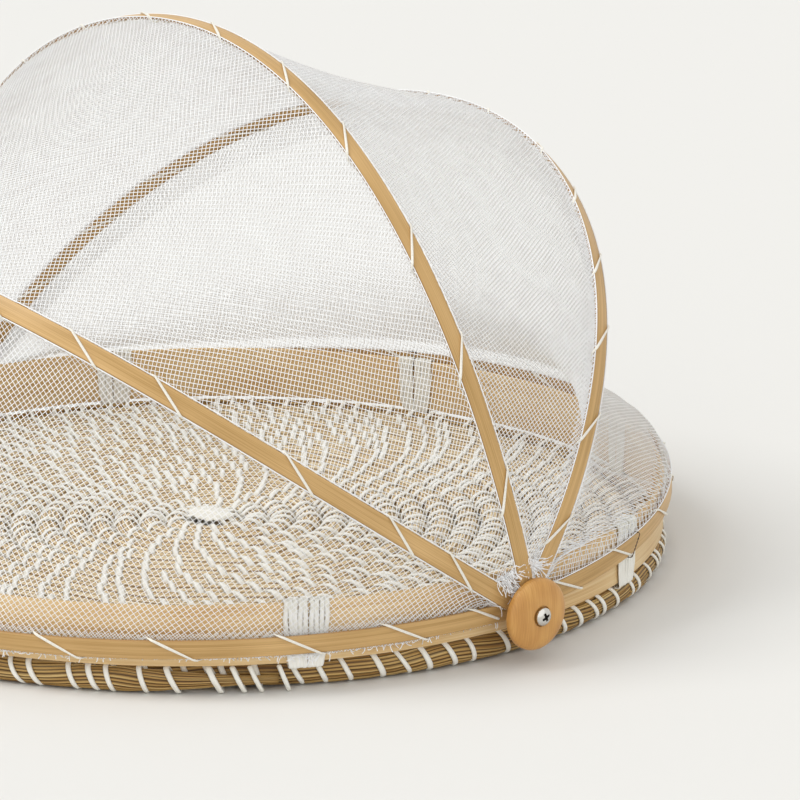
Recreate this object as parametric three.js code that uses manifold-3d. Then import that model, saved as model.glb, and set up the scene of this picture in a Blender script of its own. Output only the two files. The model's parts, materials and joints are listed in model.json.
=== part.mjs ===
// Round food cover: a coiled grass mat with a bamboo rim band, and a folding net canopy
// on five bamboo hoops that turn on two wooden side knobs.
// Millimetres, +Z up. The origin is under the middle of the mat, the hoops turn about X,
// and the cover opens at its front, which faces -Y.

import * as THREE from 'three';
import { mergeVertices } from 'three/addons/utils/BufferGeometryUtils.js';
import Module from 'manifold-3d';

const wasm = await Module();
wasm.setup();

// Clearances
const touchGap = 0.3;      // between pieces that touch on the real cover
const wrapGap = 0.15;      // between a wound cord and the strip it is drawn tight on
const overrun = 4;         // how far a cutter runs past what it cuts
const weld = 1e-4;         // points nearer than this are one point when solids are cut

// Coiled mat
const rimCoilRadius = 214.9;   // centre line of the outermost turn
const coilStartRadius = 8.2;   // centre line where the coil starts
const coilPitch = 12.9;        // from one turn to the next, about
const coilHeight = 12;         // from the table to the top of a turn
const coilFlat = 0.5;          // how much of the round underside is worn flat
const coilStepShare = 0.2;     // share of a rim turn over which it steps out to the next
const coilEndWidth = 3.2;      // across the thinned end of the coil
const turnGap = 1.1;           // between two turns, less where one steps out sooner than the next
const coilSteps = 24;          // steps in one turn

// Raffia stitching on the mat
const stitchWidth = 3;
const stitchThick = 0.6;
const stitchRows = 20;         // spokes that leave the middle
const stitchSweep = 0.9;       // how far a spoke leans round on its way out, in radians
const knotRadius = 9;

// Rim band
const bandSet = 2.2;           // how far out of the rim turn's centre line the band stands
const bandThick = 2.3;
const bandHeight = 27.3;

// Lashings that bind the band to the mat
const lashingDegrees = [22.2, 70.5, 112.2, 157.2, 202.2, 247.2, 290, 333.8];   // from the pivot
const lashingThick = 0.6;
const lashingNarrow = 6;       // width of the narrow group of strands
const lashingWide = 10;        // width of the wide group of strands
const lashingSpace = 2;        // between the two groups
const lashingBury = 1.6;       // how deep the strands sink into the mat

// Hoops
const stripWidth = 8;
const stripThick = 1.6;
const stripTail = 6.5;         // what a hoop's end runs on past its pivot
const stackShare = 1.25;       // from one hoop to the next on the screws, in strip thicknesses
const hoopSteps = 44;
const bandSteps = 72;
const pivotHeight = 22.8;
const barSides = 16;

// Pivot hardware
const screwRadius = 2;
const screwHeadRadius = 4;
const screwHeadHeight = 2.4;
const recessWidth = 1.1;       // one arm of the cross recess
const recessSpan = 4.4;
const recessDepth = 1.3;
const headShares = [[1, 0], [1, 0.45], [0.88, 0.78], [0.6, 0.95], [0, 1]];   // of its radius, height
const tipShare = 0.25;         // of screwTip that is bevelled
const screwTip = 1.8;          // what the screw shows past its nut
const knobRadius = 16;
const knobRim = 3;             // thickness of the knob at its edge
const knobCrown = 6;           // thickness of the knob in the middle
const knobSeatRadius = 5;      // flat in the middle of the knob under the screw head
const knobEdgeShare = 1 / 3;   // of the knob's rim that is bevelled
const knobSides = 26;
const domeSteps = 5;
const washerRadius = 6;
const washerThick = 1;
const washerSides = 16;
const nutFlats = 7;
const nutHeight = 3.2;

// Whipping cord and net
const cordDiameter = 0.9;
const cordSides = 4;
const overShares = [-0.25, 0, 0.25];   // places of a turn's points on the outer face, in pitches
const underShares = [0.28, 0.72];
const edgeShares = [0.265, 0.735];
const netThick = 0.5;
const netSag = 5;              // how far a taut net panel hangs in, in the middle
const slackSag = 35;           // the same for the rear panel, which is cut slack
const netRows = 4;             // of openings, from one hoop to the next
const netColumns = 7;          // of openings, along the hoops
const netGapSteps = 2;         // steps of the sheet along one opening
const netEndSteps = 3;         // steps at each end of a panel that are left closed
const netBar = 6;              // width of net between two openings
const netStart = 30;           // distance from the pivot axis where a panel starts
const rimShares = [0.05, 0.5]; // least and most of a panel's line that lies below the rim

// Wire ties that hold the rear hoop to the band, in the space between the strands of the
// lashings behind the pivots
const wireThick = 0.8;
const tieCount = 4;

const coilTurns = 1 + Math.round((rimCoilRadius - coilStartRadius) / coilPitch);
const coilSpacing = (rimCoilRadius - coilStartRadius) / (coilTurns - 1);
const coilWidth = coilSpacing - turnGap;
const stitchReach = rimCoilRadius - coilWidth;
const netSteps = netColumns * netGapSteps + 2 * netEndSteps;
const bandInnerRadius = rimCoilRadius + bandSet;
const bandOuterRadius = bandInnerRadius + bandThick;
const bandFoot = coilHeight + touchGap;
const bandTop = bandFoot + bandHeight;
const coilSemiHeight = (coilHeight + coilFlat) / (1 + Math.sin(Math.PI / 3));
const coilCentre = coilSemiHeight - coilFlat;
const bandFacetRadius = bandInnerRadius * Math.cos(Math.PI / bandSteps);   // to its flats
const lashingOuterRadius = bandOuterRadius + touchGap + lashingThick;
const lashingWhole = lashingNarrow + lashingSpace + lashingWide;
const lashingMiddle = lashingWhole / 2 - lashingNarrow - lashingSpace / 2;

// The hoops lie one outside another where they meet on the screws. A hoop has its layer in
// that stack, how far it reaches past the band, its angle up from the front at the pivot, the
// angle it bows back in the middle, and how its whipping cord is wound: the turns it would make
// from pivot to pivot, the share of the way at which it first crosses the outer face and how far
// from the pivot it starts.
const stackStep = stackShare * stripThick;
const rearHalf = bandOuterRadius + touchGap + wrapGap + cordDiameter + stripThick / 2;
const hoops = {
  rear: {
    layer: 0, past: 4.1, angle: 175.7, bow: 0,
    turns: 14.72, crossShare: 0.0592, start: 25,
  },
  lip: {
    layer: 1, past: 5.6, angle: -0.4, bow: 0,
    turns: 14.09, crossShare: 0.0823, start: 33,
  },
  back: {
    layer: 2, past: 11.1, angle: 126.6, bow: 3.7,
    turns: 14.93, crossShare: 0.0544, start: 44,
  },
  front: {
    layer: 3, past: 7.5, angle: 33.6, bow: 5.2,
    turns: 14.28, crossShare: 0.0392, start: 44,
  },
  crown: {
    layer: 5, past: 12.2, angle: 76.7, bow: 9.5,
    turns: 13.25, crossShare: 0.0823, start: 34,
  },
};
Object.values(hoops).forEach((hoop) => {
  hoop.half = rearHalf + hoop.layer * stackStep;
  hoop.reach = bandOuterRadius + hoop.past;
});
const knobFoot = hoops.crown.half + stripThick / 2 + touchGap;
const knobTop = knobFoot + knobCrown;

const looks = {
  grass: { color: 0xa58a56, roughness: 0.85 },
  raffia: { color: 0xe6e2d4, roughness: 0.6 },
  bamboo: { color: 0xc9a26b, roughness: 0.5 },
  band: { color: 0xd8bf8c, roughness: 0.55 },
  cord: { color: 0xebe8dd, roughness: 0.8 },
  net: { color: 0xf4f4f2, roughness: 0.7 },
  knob: { color: 0xd39d5c, roughness: 0.4 },
  steel: { color: 0xcfd2d6, roughness: 0.22, metalness: 1 },
  wire: { color: 0x4a4038, roughness: 0.5, metalness: 0.8 },
};

const cover = new THREE.Group();
const vector = (x, y, z) => new THREE.Vector3(x, y, z);
const radians = (degrees) => THREE.MathUtils.degToRad(degrees);

function place(name, geometry, look) {
  const mesh = new THREE.Mesh(geometry, new THREE.MeshStandardMaterial(looks[look]));
  mesh.name = name;
  cover.add(mesh);
}

// A closed body from rings of points: each ring is a section, all with as many points, and
// the first and last rings are closed with a flat fan.
function loft(rings) {
  const sides = rings[0].length;
  const faces = sideFaces(rings);
  const last = (rings.length - 1) * sides;
  for (let j = 1; j + 1 < sides; j += 1) {
    faces.push(0, j + 1, j, last, last + j, last + j + 1);
  }
  return closed(rings.flat(), faces);
}

// The triangles between each ring of points and the next.
function sideFaces(rings) {
  const sides = rings[0].length;
  const faces = [];
  for (let i = 0; i + 1 < rings.length; i += 1) {
    for (let j = 0; j < sides; j += 1) {
      const a = i * sides + j;
      const b = i * sides + ((j + 1) % sides);
      faces.push(a, b, b + sides, a, b + sides, a + sides);
    }
  }
  return faces;
}

// A geometry from points and triangles, with its faces turned to point out.
function closed(points, faces) {
  let volume = 0;
  for (let i = 0; i < faces.length; i += 3) {
    const [a, b, c] = faces.slice(i, i + 3).map((k) => points[k]);
    volume += a.dot(new THREE.Vector3().crossVectors(b, c));
  }
  const geometry = new THREE.BufferGeometry().setFromPoints(points);
  geometry.setIndex(volume < 0 ? faces.reverse() : faces);
  return geometry;
}

// Turns a closed geometry into a solid that can be joined and cut.
function solid(geometry, matrix = new THREE.Matrix4()) {
  const bare = geometry.clone().applyMatrix4(matrix);
  bare.deleteAttribute('normal');
  bare.deleteAttribute('uv');
  const merged = mergeVertices(bare, weld);
  return new wasm.Manifold(new wasm.Mesh({
    numProp: 3,
    vertProperties: new Float32Array(merged.attributes.position.array),
    triVerts: new Uint32Array(merged.index.array),
  }));
}

function shell(body) {
  const mesh = body.getMesh();
  const geometry = new THREE.BufferGeometry();
  geometry.setAttribute('position', new THREE.BufferAttribute(mesh.vertProperties, 3));
  geometry.setIndex(new THREE.BufferAttribute(mesh.triVerts, 1));
  return geometry;
}

// A round bar along X, from one x to another, at the pivot height.
function pivotBar(radius, from, to) {
  const bar = new THREE.CylinderGeometry(radius, radius, to - from, barSides);
  const turn = new THREE.Matrix4().makeRotationZ(Math.PI / 2);
  const move = new THREE.Matrix4().makeTranslation((from + to) / 2, 0, pivotHeight);
  return solid(bar, move.multiply(turn));
}

// A turned piece whose axis is the pivot axis: its profile is a list of distances from the
// axis and places along X, and side is +1 or -1 for the end of the axis it sits at.
function turned(profile, side, sides) {
  const points = profile.map(([radius, along]) => new THREE.Vector2(radius, along));
  const body = new THREE.LatheGeometry(points, sides);
  const turn = new THREE.Matrix4().makeRotationZ(-side * Math.PI / 2);
  const move = new THREE.Matrix4().makeTranslation(0, 0, pivotHeight);
  return body.applyMatrix4(move.multiply(turn));
}

// The mat is one spiral. Its inner turns grow at a steady rate, and the outer ones come
// closer to circles with a step in the last part of the turn, so that the rim is round. The
// last turn thins out where the turn inside it steps out.
function coilRadius(turn) {
  const whole = Math.floor(turn);
  const part = turn - whole;
  const step = THREE.MathUtils.smoothstep(part, 1 - coilStepShare, 1);
  const share = THREE.MathUtils.lerp(part, step, turn / coilTurns);
  return coilStartRadius + coilSpacing * (whole + share);
}

function coilRings() {
  const rings = [];
  const flatAngle = Math.asin(coilFlat / coilSemiHeight - 1);
  const upper = [0, Math.PI / 3, 2 * Math.PI / 3, Math.PI];
  const sectionAngles = [...upper, Math.PI - flatAngle, 2 * Math.PI + flatAngle];
  for (let step = 0; step < coilTurns * coilSteps; step += 1) {
    const turn = step / coilSteps;
    const inRim = turn > coilTurns - 1;
    const room = inRim ? rimCoilRadius - coilRadius(turn - 1) - turnGap : coilWidth;
    if (room < coilEndWidth) break;
    const width = Math.min(coilWidth, room);
    const radius = inRim ? rimCoilRadius + (coilWidth - width) / 2 : coilRadius(turn);
    const angle = 2 * Math.PI * turn;
    rings.push(sectionAngles.map((around) => {
      const out = radius + Math.cos(around) * width / 2;
      const up = coilCentre + Math.sin(around) * coilSemiHeight;
      return vector(out * Math.cos(angle), out * Math.sin(angle), up);
    }));
  }
  return rings;
}

// The least gap between two turns of the coil, measured on the points of its sections.
function leastCoilGap(rings) {
  let least = Infinity;
  for (let i = 0; i + coilSteps < rings.length; i += 1) {
    const inner = Math.hypot(rings[i][0].x, rings[i][0].y);
    const outer = Math.hypot(rings[i + coilSteps][3].x, rings[i + coilSteps][3].y);
    least = Math.min(least, (outer - inner) * Math.cos(Math.PI / coilSteps));
  }
  return least;
}

function coiledMat() {
  const rings = coilRings();
  console.log('least gap between two turns of the mat, mm:', leastCoilGap(rings).toFixed(2));
  let body = solid(loft(rings));
  const thick = bandThick + 2 * lashingThick + 4 * touchGap;
  const width = lashingWhole + 2 * touchGap;
  const slot = new THREE.BoxGeometry(thick, width, 2 * (lashingBury + touchGap));
  lashingDegrees.forEach((degrees) => {
    const turn = new THREE.Matrix4().makeRotationZ(radians(degrees));
    const middle = (bandInnerRadius + bandOuterRadius) / 2;
    const move = new THREE.Matrix4().makeTranslation(middle, 0, coilHeight);
    body = body.subtract(solid(slot, turn.multiply(move)));
  });
  place('coiled_mat', shell(body), 'grass');
}

// The white stitching: a knot in the middle, with spokes that lean round on their way out.
function matStitching() {
  const outline = new THREE.Shape();
  const reachShares = [0.08, 0.25, 0.45, 0.7, 1];
  const arm = 2 * Math.PI / stitchRows;
  const at = (radius, angle) => new THREE.Vector2(radius * Math.cos(angle), radius * Math.sin(angle));
  const points = [];
  for (let k = 0; k < stitchRows; k += 1) {
    const side = (share, half) => {
      const radius = stitchReach * share;
      return at(radius, k * arm + stitchSweep * share + half / radius);
    };
    points.push(at(knotRadius, (k - 0.5) * arm));
    reachShares.forEach((share) => points.push(side(share, -stitchWidth / 2)));
    [...reachShares].reverse().forEach((share) => points.push(side(share, stitchWidth / 2)));
  }
  outline.setFromPoints(points);
  const star = new THREE.ExtrudeGeometry(outline, { depth: stitchThick, bevelEnabled: false });
  star.translate(0, 0, coilHeight + touchGap);
  place('mat_stitching', star, 'raffia');
}

function rimBand() {
  const profile = [
    [bandInnerRadius, bandFoot], [bandOuterRadius, bandFoot],
    [bandOuterRadius, bandTop], [bandInnerRadius, bandTop], [bandInnerRadius, bandFoot],
  ];
  const ring = new THREE.LatheGeometry(profile.map(([r, z]) => new THREE.Vector2(r, z)), bandSteps);
  ring.rotateX(Math.PI / 2);
  let body = solid(ring);
  const holeRadius = screwRadius + touchGap;
  body = body.subtract(pivotBar(holeRadius, -bandOuterRadius - overrun, bandOuterRadius + overrun));
  for (let k = 0; k < tieCount; k += 1) {
    const { low, high } = tieHeights(k);
    const width = wireThick + 2 * touchGap;
    const hole = new THREE.BoxGeometry(bandThick + 2 * overrun, width, width);
    [low + wireThick / 2, high - wireThick / 2].forEach((height) => {
      const move = new THREE.Matrix4().makeTranslation(bandOuterRadius - bandThick / 2, 0, height);
      const turn = new THREE.Matrix4().makeRotationZ(tieAngle(k));
      body = body.subtract(solid(hole, turn.multiply(move)));
    });
  }
  place('rim_band', shell(body), 'band');
}

// A flat closed loop of strands or wire that stands upright round the band, at an angle from
// the pivot: the radii of its inner and outer legs, its lowest and highest edges, how thick
// and wide it is, and how far to the side of that angle its first edge lies.
function uprightLoop(angle, { inside, outside, low, high, thick, width, start }) {
  const loop = new THREE.Shape();
  loop.moveTo(inside - thick, low);
  loop.lineTo(outside + thick, low);
  loop.lineTo(outside + thick, high);
  loop.lineTo(inside - thick, high);
  const hole = new THREE.Path();
  hole.moveTo(inside, low + thick);
  hole.lineTo(inside, high - thick);
  hole.lineTo(outside, high - thick);
  hole.lineTo(outside, low + thick);
  loop.holes.push(hole);
  const group = new THREE.ExtrudeGeometry(loop, { depth: width, bevelEnabled: false });
  const upright = new THREE.Matrix4().makeRotationX(Math.PI / 2);
  const move = new THREE.Matrix4().makeTranslation(0, start, 0);
  const turn = new THREE.Matrix4().makeRotationZ(angle);
  return solid(group, turn.multiply(move).multiply(upright));
}

// One lashing is a narrow and a wide group of strands round the band, which sink into the
// mat and are joined by a strand inside the band's foot.
function rimLashing(name, angle) {
  const inside = bandFacetRadius - touchGap;
  const outside = bandOuterRadius + touchGap;
  const low = coilHeight - lashingBury;
  const high = bandTop + touchGap + lashingThick;
  const size = { inside, outside, low, high, thick: lashingThick };
  const narrow = uprightLoop(angle, { ...size, width: lashingNarrow, start: lashingWhole / 2 });
  const wide = uprightLoop(angle, { ...size, width: lashingWide, start: lashingWide - lashingWhole / 2 });
  const strand = new THREE.BoxGeometry(lashingThick, lashingWhole / 2, stitchWidth);
  const move = new THREE.Matrix4().makeTranslation(inside - lashingThick / 2, 0, low + stitchWidth / 2);
  const turn = new THREE.Matrix4().makeRotationZ(angle);
  const body = narrow.add(wide).add(solid(strand, turn.multiply(move)));
  place(name, shell(body), 'raffia');
}

function tieAngle(k) {
  return radians(lashingDegrees[k]) + lashingMiddle / bandOuterRadius;
}

// The heights of the two legs of a wire tie, which pass just over and under the rear hoop.
function tieHeights(k) {
  const lean = radians(hoops.rear.angle);
  const middle = pivotHeight + hoops.rear.reach * Math.sin(tieAngle(k)) * Math.sin(lean);
  const rise = stripWidth / 2 + wrapGap + wireThick;
  return { low: middle - rise, high: middle + rise };
}

// One wire tie goes round the rear hoop, over its cord, and through the band.
function rearHoopTie(k) {
  const hoop = hoops.rear;
  const angle = tieAngle(k);
  const stretched = Math.hypot(hoop.reach * Math.cos(angle), hoop.half * Math.sin(angle));
  const middle = hoop.half * hoop.reach / stretched;
  const outside = middle + stripThick / 2 + 2 * wrapGap + cordDiameter;
  const inside = bandFacetRadius - touchGap;
  const size = { inside, outside, thick: wireThick, width: wireThick, start: wireThick / 2 };
  const tie = uprightLoop(angle, { ...size, ...tieHeights(k) });
  place(`rear_hoop_tie_${k + 1}`, shell(tie), 'wire');
}

// A point of a hoop's centre line and the three directions of its strip there: along it,
// out through its flat face and across its width. The angle runs from 0 at the pivot on the
// +X side to pi at the other.
function hoopFrame(hoop, along) {
  const point = (t) => {
    const lean = radians(hoop.angle + hoop.bow * Math.sin(t));
    const reach = hoop.reach * Math.sin(t);
    return vector(hoop.half * Math.cos(t), -reach * Math.cos(lean), pivotHeight + reach * Math.sin(lean));
  };
  const nudge = 1e-3;
  const centre = point(along);
  const forward = point(along + nudge).sub(point(along - nudge)).normalize();
  const lean = radians(hoop.angle + hoop.bow * Math.sin(along));
  const spoke = vector(0, -Math.cos(lean), Math.sin(lean));
  const out = vector(Math.cos(along) / hoop.half, 0, 0).addScaledVector(spoke, Math.sin(along) / hoop.reach);
  out.addScaledVector(forward, -out.dot(forward)).normalize();
  const across = new THREE.Vector3().crossVectors(out, forward);
  return { centre, forward, out, across };
}

function offset(frame, outward, sideways) {
  return frame.centre.clone().addScaledVector(frame.out, outward).addScaledVector(frame.across, sideways);
}

// A flat strip bent into the hoop, with straight tails past the pivots and a hole for each screw.
function hoopStrip(name, hoop) {
  const corners = [[1, 1], [-1, 1], [-1, -1], [1, -1]];
  const rings = [];
  const section = (frame) => corners.map(([out, across]) => (
    offset(frame, out * stripThick / 2, across * stripWidth / 2)));
  const tail = (along, away) => {
    const frame = hoopFrame(hoop, along);
    frame.centre.addScaledVector(frame.forward, away);
    return section(frame);
  };
  rings.push(tail(0, -stripTail));
  for (let i = 0; i <= hoopSteps; i += 1) {
    rings.push(section(hoopFrame(hoop, Math.PI * i / hoopSteps)));
  }
  rings.push(tail(Math.PI, stripTail));
  let body = solid(loft(rings));
  body = body.subtract(pivotBar(screwRadius + touchGap, -hoop.half - overrun, hoop.half + overrun));
  place(name, shell(body), 'bamboo');
}

// The length of a hoop from its pivot to each of many even steps of its angle.
function hoopLengths(hoop) {
  const lengths = [0];
  const steps = 400;
  for (let i = 1; i <= steps; i += 1) {
    const before = hoopFrame(hoop, Math.PI * (i - 1) / steps).centre;
    const here = hoopFrame(hoop, Math.PI * i / steps).centre;
    lengths.push(lengths[i - 1] + before.distanceTo(here));
  }
  return lengths;
}

function angleAtLength(lengths, length) {
  let i = 1;
  while (i < lengths.length - 1 && lengths[i] < length) i += 1;
  const part = (length - lengths[i - 1]) / (lengths[i] - lengths[i - 1]);
  return Math.PI * (i - 1 + part) / (lengths.length - 1);
}

// A cord wound round a strip: each turn has seven points, three over the outer face, one
// past an edge, two under the inner face, where a taut cord runs straight, and one past the
// other edge.
function whippingCord(name, hoop) {
  const lengths = hoopLengths(hoop);
  const whole = lengths[lengths.length - 1];
  const rise = stripThick / 2 + wrapGap + cordDiameter / 2;
  const side = stripWidth / 2 + wrapGap + cordDiameter / 2;
  const turnPlaces = [
    [rise, -side, overShares[0]], [rise, 0, overShares[1]], [rise, side, overShares[2]],
    [0, side + wrapGap, edgeShares[0]],
    [-rise, side, underShares[0]], [-rise, -side, underShares[1]],
    [0, -side - wrapGap, edgeShares[1]],
  ];
  const path = [];
  const pitch = whole / hoop.turns;
  const cross = whole * hoop.crossShare;
  const first = Math.ceil((hoop.start - cross) / pitch);
  for (let turn = first; cross + turn * pitch < whole; turn += 1) {
    turnPlaces.forEach(([out, across, share]) => {
      const length = cross + (turn + share) * pitch;
      if (length < hoop.start || length > whole - hoop.start) return;
      path.push(offset(hoopFrame(hoop, angleAtLength(lengths, length)), out, across));
    });
  }
  console.log(`least gap of ${name} to itself, mm:`, leastPathGap(path, cordDiameter).toFixed(2));
  place(name, tube(path, cordDiameter / 2, cordSides), 'cord');
}

// The least gap of a tube to itself, measured on the points that it follows. Points next to
// each other, or with one between them, lie on the same bend and aren't compared.
function leastPathGap(path, diameter) {
  let least = Infinity;
  path.forEach((point, i) => {
    path.slice(i + 3).forEach((other) => {
      least = Math.min(least, point.distanceTo(other) - diameter);
    });
  });
  return least;
}

// A tube through a list of points, with the same number of sides at each.
function tube(path, radius, sides) {
  const rings = [];
  let up = vector(1, 0, 0);
  path.forEach((point, i) => {
    const before = path[Math.max(i - 1, 0)];
    const after = path[Math.min(i + 1, path.length - 1)];
    const ahead = after.clone().sub(before).normalize();
    up = up.clone().addScaledVector(ahead, -up.dot(ahead)).normalize();
    const right = new THREE.Vector3().crossVectors(ahead, up);
    const ring = [];
    for (let k = 0; k < sides; k += 1) {
      const angle = 2 * Math.PI * k / sides;
      const corner = point.clone().addScaledVector(up, radius * Math.cos(angle));
      ring.push(corner.addScaledVector(right, radius * Math.sin(angle)));
    }
    rings.push(ring.reverse());
  });
  return loft(rings);
}

// A net panel from the upper edge of one hoop to the lower edge of the next. It is a thin
// sheet with a plain grid of openings, inside the hoops, that hangs in a little, and where it
// would cross the rim band it goes round the outside of the band's top edge.
function netPanel(name, low, high, panelSag) {
  const clear = stripWidth / 2 + wrapGap + cordDiameter + touchGap;
  const inward = -(stripThick / 2 + touchGap + netThick / 2);
  const startAngle = Math.asin(netStart / Math.min(low.reach, high.reach));
  const row = (along) => {
    const lowInward = low === hoops.rear ? touchGap : inward;
    const highInward = high === hoops.rear ? touchGap : inward;
    const from = offset(hoopFrame(low, along), lowInward, -clear);
    const to = offset(hoopFrame(high, along), highInward, clear);
    return { from, to };
  };
  const surface = (along) => {
    const { from, to } = row(along);
    const nearRim = low === hoops.lip ? overRim(from, to) : from;
    const nearRear = high === hoops.rear ? overRim(to, from) : to;
    const inwards = vector(0, 0, pivotHeight).sub(from.clone().lerp(to, 0.5)).setX(0).normalize();
    const points = low === hoops.lip ? [from] : [];
    for (let k = 0; k <= netRows; k += 1) {
      const share = k / netRows;
      const sag = panelSag * 4 * share * (1 - share) * Math.sin(along);
      points.push(nearRim.clone().lerp(nearRear, share).addScaledVector(inwards, sag));
    }
    if (high === hoops.rear) points.push(to);
    return points;
  };
  const grid = [];
  for (let i = 0; i <= netSteps; i += 1) {
    grid.push(surface(THREE.MathUtils.lerp(startAngle, Math.PI - startAngle, i / netSteps)));
  }
  place(name, openSheet(grid, netThick, low === hoops.lip ? 1 : 0), 'net');
}

// The point of a net panel's line, from its edge at the rim to its far edge, that lies level
// with the top of the band. It is moved out where the line would cut the band or a lashing.
function overRim(edge, far) {
  const topClear = bandTop + touchGap + lashingThick + touchGap + netThick;
  const rimClear = lashingOuterRadius + touchGap + netThick + stripThick / 2;
  const share = THREE.MathUtils.clamp((topClear - edge.z) / (far.z - edge.z), ...rimShares);
  const point = edge.clone().lerp(far, share);
  const radius = Math.hypot(point.x, point.y);
  const scale = point.z < topClear + netThick ? Math.max(radius, rimClear) / radius : 1;
  return point.multiply(vector(scale, scale, 1));
}

// A thin closed sheet on a grid of points, half its thickness to each side, with openings in
// the rows from firstRow on. Each opening lies inside a block of the grid that is a few steps
// long and one row wide.
function openSheet(grid, thick, firstRow) {
  const normal = (i, j) => {
    const [before, after] = [Math.max(i - 1, 0), Math.min(i + 1, grid.length - 1)];
    const [left, right] = [Math.max(j - 1, 0), Math.min(j + 1, grid[i].length - 1)];
    const along = grid[after][j].clone().sub(grid[before][j]);
    const across = grid[i][right].clone().sub(grid[i][left]);
    return along.cross(across).normalize();
  };
  const side = (half) => grid.map((line, i) => (
    line.map((point, j) => point.clone().addScaledVector(normal(i, j), half))));
  const inCell = (lines, i, j, u, v) => {
    const near = lines[i][j].clone().lerp(lines[i][j + 1], v);
    return near.lerp(lines[i + 1][j].clone().lerp(lines[i + 1][j + 1], v), u);
  };
  const columns = grid[0].length;
  const isOpen = (i, j) => i >= netEndSteps && i < grid.length - 1 - netEndSteps
    && j >= firstRow && j < firstRow + netRows;
  const corners = [];
  const faces = [];
  for (let i = 0; i + 1 < grid.length; i += 1) {
    for (let j = 0; j + 1 < columns; j += 1) {
      const a = i * columns + j;
      if (!isOpen(i, j)) {
        faces.push(a, a + columns, a + columns + 1, a, a + columns + 1, a + 1);
      } else if ((i - netEndSteps) % netGapSteps === 0) {
        faces.push(...frameFaces(a, columns, grid.length * columns + corners.length));
        corners.push(...gapCorners(grid, i, j));
      }
    }
  }
  const points = [thick / 2, -thick / 2].map((half) => {
    const lines = side(half);
    return [...lines.flat(), ...corners.map((corner) => inCell(lines, ...corner))];
  });
  return twoSided(points, faces);
}

// The four corners of an opening, each as a cell of the grid and the shares of the way along
// and across it.
function gapCorners(grid, i, j) {
  const last = i + netGapSteps - 1;
  const bar = netBar / 2;
  const along = (k) => bar / grid[k][j].distanceTo(grid[k + 1][j]);
  const across = (k) => bar / grid[k][j].distanceTo(grid[k][j + 1]);
  const [near, far] = [across(i), across(last + 1)];
  return [
    [i, j, along(i), near], [i, j, along(i), 1 - near],
    [last, j, 1 - along(last), 1 - far], [last, j, 1 - along(last), far],
  ];
}

// The triangles between the outline of a block and the four corners of its opening. a is the
// number of the block's first point and gap that of the opening's.
function frameFaces(a, columns, gap) {
  const [p, q, r, s] = [gap, gap + 1, gap + 2, gap + 3];
  const middle = Math.floor(netGapSteps / 2);
  const faces = [];
  for (let k = 0; k < netGapSteps; k += 1) {
    const low = a + k * columns;
    const next = low + columns;
    if (k === middle) faces.push(low, s, p, low + 1, q, r);
    const [lowCorner, highCorner] = k < middle ? [p, q] : [s, r];
    faces.push(low, next, lowCorner, next + 1, low + 1, highCorner);
  }
  const end = a + netGapSteps * columns;
  faces.push(end, end + 1, r, end, r, s, a + 1, a, p, a + 1, p, q);
  return faces;
}

// A closed body from two layers of points and the triangles of the front one. The layers are
// joined along each edge that only one triangle has.
function twoSided([front, back], faces) {
  const count = front.length;
  const all = [];
  const edges = new Set();
  for (let k = 0; k < faces.length; k += 3) {
    const [a, b, c] = faces.slice(k, k + 3);
    all.push(a, b, c, c + count, b + count, a + count);
    [[a, b], [b, c], [c, a]].forEach((edge) => edges.add(edge.join()));
  }
  edges.forEach((edge) => {
    const [a, b] = edge.split(',').map(Number);
    if (!edges.has([b, a].join())) all.push(b, a, a + count, b, a + count, b + count);
  });
  return closed([...front, ...back], all);
}

// A turned wooden knob: flat against the hoops, round at its edge and domed in front.
function pivotKnob(name, side) {
  const bore = screwRadius + touchGap;
  const edge = knobRim * knobEdgeShare;
  const profile = [[bore, knobFoot], [knobRadius - edge, knobFoot], [knobRadius, knobFoot + edge]];
  const dome = new THREE.Vector2(knobRadius - knobSeatRadius, knobCrown - edge);
  for (let i = 1; i <= domeSteps; i += 1) {
    const angle = Math.PI / 2 * i / domeSteps;
    const along = knobFoot + edge + dome.y * Math.sin(angle);
    profile.push([knobSeatRadius + dome.x * Math.cos(angle), along]);
  }
  profile.push([bore, knobTop], [bore, knobFoot]);
  place(name, turned(profile, side, knobSides), 'knob');
}

// The pan head screw with its cross recess.
function pivotScrew(name, side) {
  const seat = knobTop + touchGap;
  const top = seat + screwHeadHeight;
  const tip = bandInnerRadius - washerThick - nutHeight - 2 * touchGap - screwTip;
  const bevel = screwTip * tipShare;
  const shank = [[0, tip], [screwRadius - bevel, tip], [screwRadius, tip + bevel], [screwRadius, seat]];
  const head = headShares.map(([out, up]) => [screwHeadRadius * out, seat + screwHeadHeight * up]);
  let body = solid(turned([...shank, ...head], side, barSides));
  const arm = (spanY, spanZ) => {
    const box = new THREE.BoxGeometry(2 * recessDepth, spanY, spanZ);
    return solid(box, new THREE.Matrix4().makeTranslation(side * top, 0, pivotHeight));
  };
  body = body.subtract(arm(recessSpan, recessWidth)).subtract(arm(recessWidth, recessSpan));
  place(name, shell(body), 'steel');
}

function pivotWasher(name, side) {
  const bore = screwRadius + touchGap;
  const outer = bandInnerRadius - touchGap;
  const profile = [
    [bore, outer - washerThick], [washerRadius, outer - washerThick],
    [washerRadius, outer], [bore, outer], [bore, outer - washerThick],
  ];
  place(name, turned(profile, side, washerSides), 'steel');
}

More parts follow.
